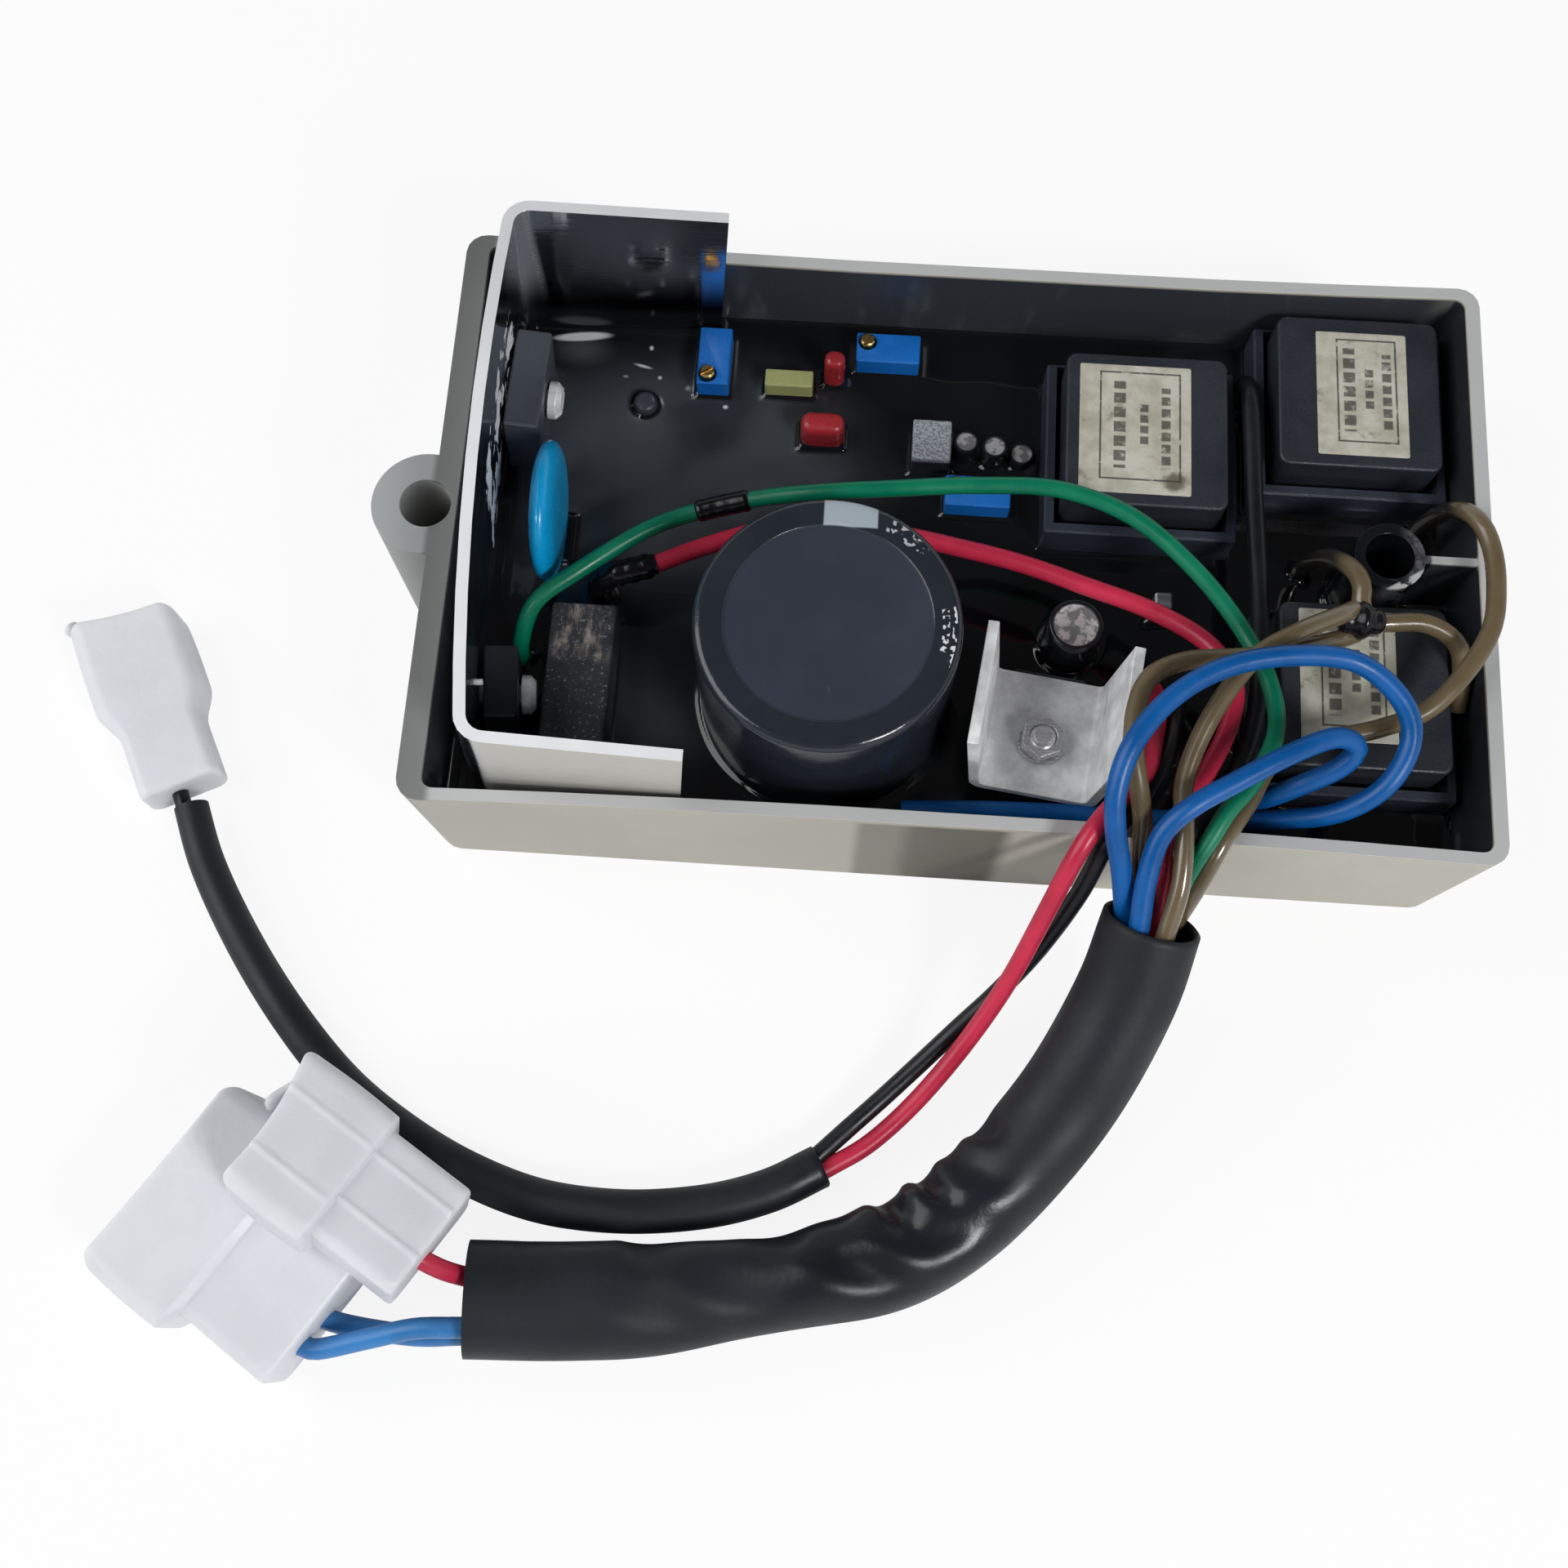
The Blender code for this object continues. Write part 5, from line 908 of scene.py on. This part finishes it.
def bracket_finish():
    """Polished sheet: fine drawn lines, dull dry patches, white paste smeared behind the devices, and
    painted shade at the back arm's bend and low on its inner face.
    """
    colour = (0.78, 0.80, 0.84)
    made = Finish("polished_sheet", colour, 0.1, 1.0)
    x, y, z = made.axes()
    drawn = made.noise(2400.0, 2.0, 0.5, made.stretched(0.06, 0.06, 1.0))
    band = y.rise(-0.008, 0.0005) * y.fall(0.0265, 0.0330) * z.rise(0.0120, 0.0185) * z.fall(0.0335, 0.0400)
    paste = (made.noise(210.0, 4.0, 0.6) + band * 0.42).rise(0.90, 0.96) * x.rise(-0.0628, -0.0618)
    edge = made.facing_up().rise(0.80, 0.95)
    inner = 1.0 - edge
    dull = y.fall(-0.0397, -0.0393).highest(edge)
    # Painted shade: the bend of the back arm's inner face is darker, duller and less metallic.
    bend = x.fall(-0.0590, -0.0572) * y.rise(0.0345, 0.0360) * z.rise(0.0130, 0.0200) * inner
    # Painted shade: the back arm's inner face goes near black low down, and is not metal below 20 mm.
    arm = y.rise(0.0330, 0.0350) * inner
    rim = made.mix(y.rise(0.0, 0.030), (0.86, 0.87, 0.90), (0.72, 0.73, 0.75))
    side = made.mix(edge, (0.585, 0.575, 0.535), rim)
    tone = made.coated(made.mix(bend * 0.8, colour, (0.13, 0.14, 0.17)),
                       (arm * z.fall(0.0205, 0.0310), (0.006, 0.007, 0.009)), (dull, side),
                       (paste, (0.80, 0.82, 0.84)))
    bright = (1.0 - paste) * (1.0 - dull * 0.75) * (1.0 - bend * 0.55)
    worn = made.noise(130.0, 4.0).rise(0.5, 0.8) * 0.06 + dull * 0.40 + bend * 0.25
    made.feed(base_color=tone, metallic=bright * (1.0 - arm * z.fall(0.0175, 0.0205)),
              roughness=(drawn.rise(0.3, 0.7, 0.06, 0.16) + worn).highest(paste * 0.6))
    return made.bump(drawn, 0.00001)


def brushed_finish(name, colour, low, high, metallic=1.0):
    """Brushed or rolled metal: fine lines one way and small dull spots."""
    made = Finish(name, colour, 0.35, metallic)
    lines = made.noise(2600.0, 3.0, 0.6, made.stretched(0.05, 1.0, 1.0))
    spots = made.noise(600.0, 4.0, 0.6).rise(0.60, 0.80) * 0.5
    tone = made.shades(lines.rise(0.3, 0.7), colour, 0.88, 1.06)
    made.feed(base_color=made.mix(spots, tone, shade(colour, 0.6)),
              roughness=lines.rise(0.3, 0.7, low, high) + spots * 0.2)
    return made.bump(lines, 0.00002)


def rolled_finish():
    """Dull rolled sheet: pale, blotched and lightly scratched."""
    colour = (0.84, 0.85, 0.86)
    made = Finish("rolled_sheet", colour, 0.45, 0.12)
    cloud = made.noise(230.0, 5.0, 0.65)
    lines = made.noise(2000.0, 3.0, 0.6, made.stretched(0.10, 1.0, 1.0))
    scratch = made.noise(420.0, 3.0, 0.5, made.stretched(1.0, 0.12, 1.0)).rise(0.66, 0.70) * 0.5
    tone = made.shades(cloud.rise(0.34, 0.66), colour, 0.80, 1.12)
    made.feed(base_color=made.mix(scratch, tone, (0.14, 0.14, 0.15)),
              roughness=cloud.rise(0.3, 0.7, 0.36, 0.54) + lines * 0.06)
    return made.bump(lines, 0.00001)


def chip_finish():
    """Grey top with pale grains, black below."""
    made = Finish("grey_top_moulding", (0.21, 0.23, 0.27), 0.5)
    grains = made.noise(2600.0, 1.0).rise(0.40, 0.60)
    top = made.mix(grains, (0.17, 0.185, 0.215), (0.34, 0.36, 0.40))
    share = made.axis("Z").rise(0.0172, 0.0180)
    made.feed(base_color=made.mix(share, (0.010, 0.011, 0.013), top),
              roughness=grains.rise(0.0, 1.0, 0.4, 0.6))
    return made.bump(grains, 0.00003)


def film_box_finish():
    """Black box with pale dust on top and a brownish-white scuff over its far third."""
    colour = (0.030, 0.032, 0.038)
    made = Finish("dusty_black_moulding", colour, 0.5)
    up = made.facing_up().rise(0.5, 0.9)
    specks = made.noise(2200.0, 2.0).rise(0.60, 0.70) * 0.65
    cloud = made.noise(260.0, 4.0).rise(0.35, 0.65)
    smear = made.noise(800.0, 4.0, 0.65, made.stretched(1.0, 0.35, 1.0)).rise(0.40, 0.66)
    scuff = smear * cloud * made.near(-52.0, -14.8, 2.6, 3.0, 2.2)
    tone = made.shades(cloud, colour, 0.8, 1.3)
    tone = made.coated(tone, (specks * up, (0.30, 0.31, 0.33)), (scuff * up * 0.9, (0.44, 0.38, 0.33)))
    return made.feed(base_color=tone, roughness=specks * 0.3 + 0.42)


STEEL = brushed_finish("plated_steel", (0.66, 0.66, 0.67), 0.20, 0.36, 0.55)
BRASS = brushed_finish("turned_brass", (0.72, 0.50, 0.20), 0.22, 0.36)
TIN = brushed_finish("tinned_pin", (0.52, 0.52, 0.54), 0.35, 0.5)
SCREW_WHITE = brushed_finish("dull_plated_steel", (0.86, 0.86, 0.88), 0.30, 0.45, 0.25)
BLACK_PLASTIC = moulded("black_moulding", (0.036, 0.042, 0.054), 0.46, dust=0.04)
DEVICE_GREY = moulded("device_moulding", (0.054, 0.062, 0.078), 0.46, dust=0.04)
DEVICE_BLACK = moulded("dark_device_moulding", (0.013, 0.015, 0.019), 0.42, specular_ior_level=0.3)
TRIMMER_BLUE = moulded("blue_moulding", (0.004, 0.135, 0.500), 0.38, 0.12, dust=0.04)
YELLOW = moulded("yellow_moulding", (0.310, 0.325, 0.130), 0.48, 0.14, dust=0.18)
FILM_RED = moulded("red_dip", (0.31, 0.019, 0.026), 0.30, 0.2, dust=0.04)
BOARD_GREEN = moulded("board_laminate_finish", (0.05, 0.16, 0.07), 0.4)

for node, finish, slot, width in (
        ("heat_sink_bracket", bracket_finish(), "aluminium_sheet", 0.00018),
        ("transistor_heat_sink", rolled_finish(), "aluminium_sheet", 0.00015),
        ("power_transistor", DEVICE_GREY, "black_plastic", 0.0),
        ("thyristor", DEVICE_BLACK, "black_plastic", 0.0),
        ("regulator_transistor", BLACK_PLASTIC, "black_plastic", 0.0002),
        ("power_transistor_screw", SCREW_WHITE, "steel_fastener", 0.00012),
        ("thyristor_screw", SCREW_WHITE, "steel_fastener", 0.00012),
        ("fin_washer", STEEL, "steel_fastener", 0.0001),
        ("fin_nut", STEEL, "steel_fastener", 0.0002),
        ("terminal_post", TIN, "tinned_metal", 0.0),
        ("trimmer_1", TRIMMER_BLUE, "trimmer_blue", 0.0),
        ("trimmer_2", TRIMMER_BLUE, "trimmer_blue", 0.0),
        ("trimmer_3", TRIMMER_BLUE, "trimmer_blue", 0.0)):
    softened(node, f"{node}_body", finish, width)

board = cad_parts["circuit_board"].data
board.materials.clear()
board.materials.append(BOARD_GREEN.material)


def paste_marks():
    """White paste squeezed out behind the dark device: a thin bead and a short cross stroke."""
    bead = placed(np.linspace((-65.0, -22.7, 28.0), (-63.8, -33.4, 27.4), 16))
    stroke = placed(np.linspace((-65.6, -26.3, 28.0), (-63.6, -26.0, 28.0), 8))
    swell = 0.00020 + 0.00012 * np.sin(np.linspace(0.4, 2.4, 16))[:, None] ** 8
    shapes = [tube_rings(bead, swell, 10), tube_rings(stroke, 0.00042, 10)]
    lofted("paste_marks", shapes, Finish("dry_paste", (0.80, 0.81, 0.83), 0.6), "aluminium_sheet", None,
           60.0)


def fin_screw():
    """Revolved screw end that fills the nut's bore, chamfered at both radii."""
    corners, nut = (np.array([node.matrix_world @ vertex.co for vertex in node.data.vertices]) / MM
                    for node in (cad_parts["fin_screw"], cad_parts["fin_nut"]))
    nut_top = nut[:, 2].max()
    low, high = corners.min(0), corners.max(0)
    x, y = (low[0] + high[0]) / 2 - TRAY_X / MM, (low[1] + high[1]) / 2
    profile = [(1.95, low[2]), (1.95, nut_top - 0.35), (1.5, nut_top - 0.12), (1.5, high[2] - 0.25),
               (1.25, high[2]), (0.4, high[2])]
    lofted("fin_screw_end", [turned_rings(x, y, profile, 40)], STEEL, "steel_fastener", "fin_screw", 30.0)


paste_marks()
fin_screw()
for number in (1, 2, 3):
    softened(f"trimmer_screw_{number}", f"adjuster_{number}_screw", BRASS, 0.00008,
             f"adjuster_{number}")


# Blocks on the board

for node, x, y, width, depth, top, corner, edge, finish, slot in (
        ("box_capacitor", -52.0, -21.45, 9.2, 21.5, 21.0, 0.5, 0.5, film_box_finish(), "black_plastic"),
        ("film_capacitor_yellow", -25.6, 29.1, 7.2, 2.8, 17.0, 0.3, 0.25, YELLOW, "film_yellow"),
        ("film_capacitor_red_small", -18.9, 31.2, 3.1, 2.8, 20.0, 1.2, 0.9, FILM_RED, "film_red"),
        ("film_capacitor_red_large", -20.1, 21.2, 6.5, 3.5, 19.0, 1.5, 1.2, FILM_RED, "film_red"),
        ("optocoupler", -3.9, 19.4, 5.7, 6.5, 18.5, 0.3, 0.3, chip_finish(), "chip_grey")):
    block = block_rings(x, y, width, depth, UNDER_RESIN, top, corner, edge)
    lofted(f"{node}_body", [block], finish, slot, node)


# Capacitors and the post

CAN = (-17.5, -19.5)
CAN_RADIUS = 17.6
CAN_ROLL = 1.15
CAN_TOP = 40.9


def capacitor_finish():
    """Sleeved can: a paler disc on top inside the darker sleeve, with a pale patch and unreadable marks
    that run round it."""
    made = Finish("sleeved_can", (0.010, 0.012, 0.016), 0.2)
    z = made.axis("Z")
    away_x, away_y = made.away(*CAN)
    distance = made.spot(*CAN)
    disc = distance.fall(13.5, 13.7) * z.rise(0.0395, 0.0400)
    dust = made.noise(2600.0, 2.0).rise(0.72, 0.80) * 0.35
    cloud = made.noise(110.0, 4.0)
    soft = cloud.rise(0.3, 0.7)
    scratch = made.noise(900.0, 3.0, 0.6, made.stretched(1.0, 0.08, 1.0)).rise(0.70, 0.76) * 0.25
    slate = made.mix(scratch.highest(dust), made.mix(soft, (0.025, 0.032, 0.049), (0.032, 0.040, 0.059)),
                     (0.22, 0.23, 0.25))
    rubber = made.mix(soft, (0.015, 0.019, 0.027), (0.020, 0.025, 0.034))
    patch = made.near(-15.3, -3.5, 3.4, 2.4, 0.3) * z.rise(0.0330, 0.0340) * (1.0 - disc)
    angle = away_y.angle_over(away_x)
    polar = made.node("ShaderNodeCombineXYZ", {}, {0: angle * 0.62, 1: distance * 0.034, 2: 0.0})
    marks = made.noise(34.0, 2.0, 0.5, polar).rise(0.53, 0.57)
    near_band = distance.rise(14.8, 14.9) * distance.fall(15.7, 15.8)
    far_band = distance.rise(16.1, 16.2) * distance.fall(16.7, 16.8)
    strong = near_band * angle.rise(-0.22, -0.20) * angle.fall(0.16, 0.18)
    strong = strong.highest(far_band * angle.rise(-0.34, -0.32) * angle.fall(0.20, 0.22))
    faint = near_band.highest(far_band) * angle.rise(0.70, 0.74) * angle.fall(1.08, 1.12)
    ink = marks * strong.highest(faint * 0.6) * 0.9
    tone = made.coated(made.mix(disc, rubber, slate), (ink, (0.75, 0.76, 0.78)),
                       (patch * 0.92, (0.36, 0.42, 0.47)))
    made.feed(base_color=tone, roughness=disc.rise(0.0, 1.0, 0.17, 0.36) + scratch * 0.3)
    return made.bump(made.noise(500.0, 3.0) * (1.0 - disc) + cloud * 0.5, 0.00006)


def filter_capacitor():
    """Revolved sleeve: a flat ring with a rolled shoulder round a disc that lies a little lower."""
    roll = [(CAN_RADIUS - CAN_ROLL * (1 - math.cos(a)), CAN_TOP - CAN_ROLL * (1 - math.sin(a)))
            for a in np.linspace(0, np.pi / 2, 9)]
    profile = [(CAN_RADIUS, UNDER_RESIN), (CAN_RADIUS, 30.0), *roll, (14.0, 41.0), (13.75, 40.96),
               (13.6, 40.86), (13.52, 40.72), (13.4, 40.70), (4.0, 40.70)]
    lofted("filter_capacitor_can", [turned_rings(*CAN, profile, 128)], capacitor_finish(),
           "capacitor_sleeve", "filter_capacitor")


def small_can_finish(name, places, radius, top, metal):
    """Small cans: metal shows inside the sleeve's rolled edge on top, blotched by resin."""
    black = (0.012, 0.013, 0.016)
    made = Finish(name, black, 0.25)
    discs = [made.spot(x, y, radius, radius).fall(0.74, 0.80) for x, y in places]
    disc = discs[0]
    for other in discs[1:]:
        disc = disc.highest(other)
    disc = disc * made.axis("Z").rise((top - 2.6) * MM, (top - 2.5) * MM)
    blots = made.noise(650.0, 3.0, 0.6).rise(0.42, 0.56)
    share = disc * (1.0 - blots * 0.75)
    return made.feed(base_color=made.mix(share, black, metal), metallic=share * 0.6,
                     roughness=share.rise(0.0, 1.0, 0.22, 0.36))


def can_rings(x, y, radius, top, sides=48):
    """Revolved can: a straight side and a rolled edge round a top that lies 0.3 lower."""
    return turned_rings(x, y, [
        (radius, UNDER_RESIN), (radius, top - 1.0), (radius * 0.985, top - 0.45),
        (radius * 0.94, top - 0.12), (radius * 0.88, top), (radius * 0.82, top - 0.02),
        (radius * 0.79, top - 0.25), (radius * 0.77, top - 0.3), (radius * 0.3, top - 0.3)], sides)


filter_capacitor()
lofted("electrolytic_capacitor_can", [can_rings(17.1, -10.4, 4.0, 23.0, 64)],
       small_can_finish("medium_can", [(17.1, -10.4)], 4.0, 23.0, (0.92, 0.92, 0.93)), "black_plastic",
       "electrolytic_capacitor")
SMALL_CANS = [(1.2, 19.7, 18.0), (5.4, 19.2, 18.0), (9.6, 19.3, 16.0)]
SMALL_CAN = small_can_finish("small_can", [place[:2] for place in SMALL_CANS], 1.85, 17.5,
                             (0.62, 0.62, 0.63))
for number, (x, y, top) in enumerate(SMALL_CANS, 1):
    lofted(f"small_electrolytic_{number}_can", [can_rings(x, y, 1.85, top)], SMALL_CAN, "black_plastic",
           f"small_electrolytic_{number}")
POST = [(1.8, UNDER_RESIN), (1.8, 14.6), (1.7, 15.1), (1.4, 15.42), (1.1, 15.5), (0.4, 15.5)]
lofted("thermistor_body", [turned_rings(-47.0, 24.8, POST, 32)], BLACK_PLASTIC, "black_plastic",
       "thermistor")


DISC_RADIUS = 10
DISC_HALF = 1.9


def varistor():
    """Disc on edge: half thickness DISC_HALF sqrt(1 - share^6) at a share of its radius, and two legs
    down to the board."""
    share = np.sin(np.linspace(0, np.pi / 2, 14))
    half = DISC_HALF * np.sqrt(np.clip(1 - share ** 6, 0, 1)) * (1 - 0.08 * share ** 2)
    radius = DISC_RADIUS * np.concatenate([share[1:], share[-2:0:-1]])
    height = np.concatenate([-half[1:], half[-2:0:-1]])
    on_edge = Matrix.Translation((-58.2, 2.3, 22.8)) @ Matrix.Rotation(math.pi / 2, 4, "Y")
    disc = turned_rings(0, 0, list(zip(radius, height)), 72, on_edge)
    legs = [turned_rings(-58.2, 2.3 + side * 3.75, [(0.6, UNDER_RESIN), (0.6, 16.5)], 16)
            for side in (-1, 1)]
    finish = moulded("blue_dip", (0.003, 0.340, 0.700), 0.22, 0.10, 0.00004, grain_scale=900.0)
    lofted("varistor_disc", [disc, *legs], finish, "varistor_blue", "varistor", 50.0)


varistor()


# Transformers

CORE_SLATE = moulded("slate_moulding", (0.016, 0.020, 0.028), 0.46, 0.22, 0.00005, dust=0.05)
CASE_SLATE = moulded("case_moulding", (0.026, 0.032, 0.048), 0.36, 0.22, 0.00005, dust=0.06)


def label_finish(name, x, y, half_x, half_y, seed):
    """Printed paper: a thin border and three rows of plain bars, yellowed and smudged."""
    made = Finish(name, (0.62, 0.60, 0.50), 0.5)
    u, v = made.away(x, y)
    paper = made.noise(260.0, 4.0, 0.6)
    edge_x = abs(u - 0.7) - (half_x - 2.3)
    edge_y = abs(v - 0.5) - (half_y - 1.7)
    marks = abs(edge_x.highest(edge_y)).rise(0.10, 0.18, 0.85, 0.0)
    for middle, wide, start, end, step in ((-half_x * 0.28, 0.85, -0.62, 0.74, 2.3),
                                           (half_x * 0.16, 0.60, -0.28, 0.40, 1.7),
                                           (half_x * 0.55, 0.65, -0.60, 0.66, 1.9)):
        inside_u = abs(u - middle) - wide
        inside_v = abs(v - half_y * (start + end) / 2) - half_y * (end - start) / 2
        dash = abs((v + 40.0).wrapped(step) - step / 2) - step * 0.36
        marks = marks.highest(inside_u.highest(inside_v).highest(dash).rise(-0.08, 0.08, 0.80, 0.0))
    worn = made.noise(700.0 + seed, 4.0, 0.65).rise(0.30, 0.46)
    smudge = made.noise(150.0 + seed * 3, 5.0, 0.7).rise(0.58, 0.72) * 0.7
    tone = made.coated(made.mix(paper.rise(0.3, 0.7), (0.38, 0.37, 0.295), (0.54, 0.53, 0.455)),
                       (marks * worn, (0.030, 0.030, 0.032)), (smudge, (0.16, 0.14, 0.10)))
    if seed < 20:
        spot_x = (u - half_x * 0.72) / 2.6
        spot_y = (v + half_y * 0.80) / 1.9
        spot = (spot_x * spot_x + spot_y * spot_y).root() + made.noise(420.0, 4.0) * 1.2
        tone = made.mix(spot.rise(1.0, 1.6, 0.8, 0.0), tone, (0.060, 0.045, 0.025))
    return made.feed(base_color=tone, roughness=paper.rise(0.3, 0.7, 0.40, 0.6))


def transformer(number, x, y, label):
    """Filled core block over the lip of its case, with the label lying on it."""
    core = block_rings(x, y, 23.2, 24.0, 8.2, 25.0, 1.6, 0.45)
    lofted(f"transformer_{number}_core", [core], CORE_SLATE, "transformer_plastic",
           f"transformer_core_{number}")
    softened(f"transformer_case_{number}", f"transformer_{number}_case", CASE_SLATE)
    label_x, label_y, half_x, half_y = label
    paper = block_rings(label_x, label_y, half_x * 2, half_y * 2, 24.9, 25.1, 0.3, 0.04)
    lofted(f"transformer_{number}_label", [paper], label_finish(f"paper_{number}", *label, number * 17.0),
           "transformer_plastic")


transformer(1, 26.4, 19.4, (24.7, 19.4, 8.0, 10.2))
transformer(2, 56.9, 27.4, (57.3, 27.1, 6.5, 9.9))
transformer(3, 56.4, -17.8, (54.1, -16.4, 6.6, 9.6))


# Floor, lamps and surroundings

FLOOR_REACH = 3.0


def floor():
    """Large pale plane just under the part; the camera also sees it partly by its own light."""
    made = Finish("pale_floor", (0.86, 0.86, 0.86), 0.7)
    seen = made.node("ShaderNodeLightPath", output="Is Camera Ray")
    glow = made.node("ShaderNodeEmission", {}, {"Color": (1.0, 1.0, 1.0, 1.0), "Strength": 1.0})
    shader = Field(made, made.shader.outputs[0])
    blend = made.node("ShaderNodeMixShader", {}, {0: seen * 0.88, 1: shader, 2: glow})
    made.tree.links.new(blend.socket, made.tree.nodes["Material Output"].inputs["Surface"])
    corners = FLOOR_REACH * np.array([(-1, -1), (1, -1), (1, 1), (-1, 1)])
    points = np.hstack([corners, np.full((4, 1), -0.0001)])
    piece_from("floor", points, [np.array([[0, 1, 2, 3]])], made)


def lamp(name, place, size, power):
    """Square soft lamp that faces the part."""
    data = bpy.data.lights.new(name, "AREA")
    data.size = size
    data.energy = power
    away = Vector(place) - Vector((0.0, 0.0, 0.02))
    linked(name, data, Matrix.Translation(place) @ away.to_track_quat("Z", "Y").to_matrix().to_4x4())


def surroundings():
    """Dark room with pale walls: bright near the horizon, dim from there to overhead."""
    world = bpy.data.worlds.new("room")
    scene.world = world
    world.use_nodes = True
    tree = world.node_tree
    background = tree.nodes["Background"]
    background.inputs["Color"].default_value = (0.98, 0.99, 1.0, 1.0)
    coordinates = tree.nodes.new("ShaderNodeTexCoord")
    towards = tree.nodes.new("ShaderNodeVectorMath")
    towards.operation = "DOT_PRODUCT"
    towards.inputs[1].default_value = (0.0, 0.0, 1.0)
    ramp = tree.nodes.new("ShaderNodeMapRange")
    ramp.interpolation_type = "SMOOTHSTEP"
    for socket, value in zip(ramp.inputs[1:5], (0.28, 0.62, 0.72, 0.070)):
        socket.default_value = value
    tree.links.new(coordinates.outputs["Generated"], towards.inputs[0])
    tree.links.new(towards.outputs["Value"], ramp.inputs[0])
    tree.links.new(ramp.outputs[0], background.inputs["Strength"])


floor()
surroundings()
lamp("left_lamp", (-0.55, -0.05, 0.55), 0.60, 3.8)
lamp("front_right_lamp", (0.36, -0.44, 0.56), 0.18, 3.3)
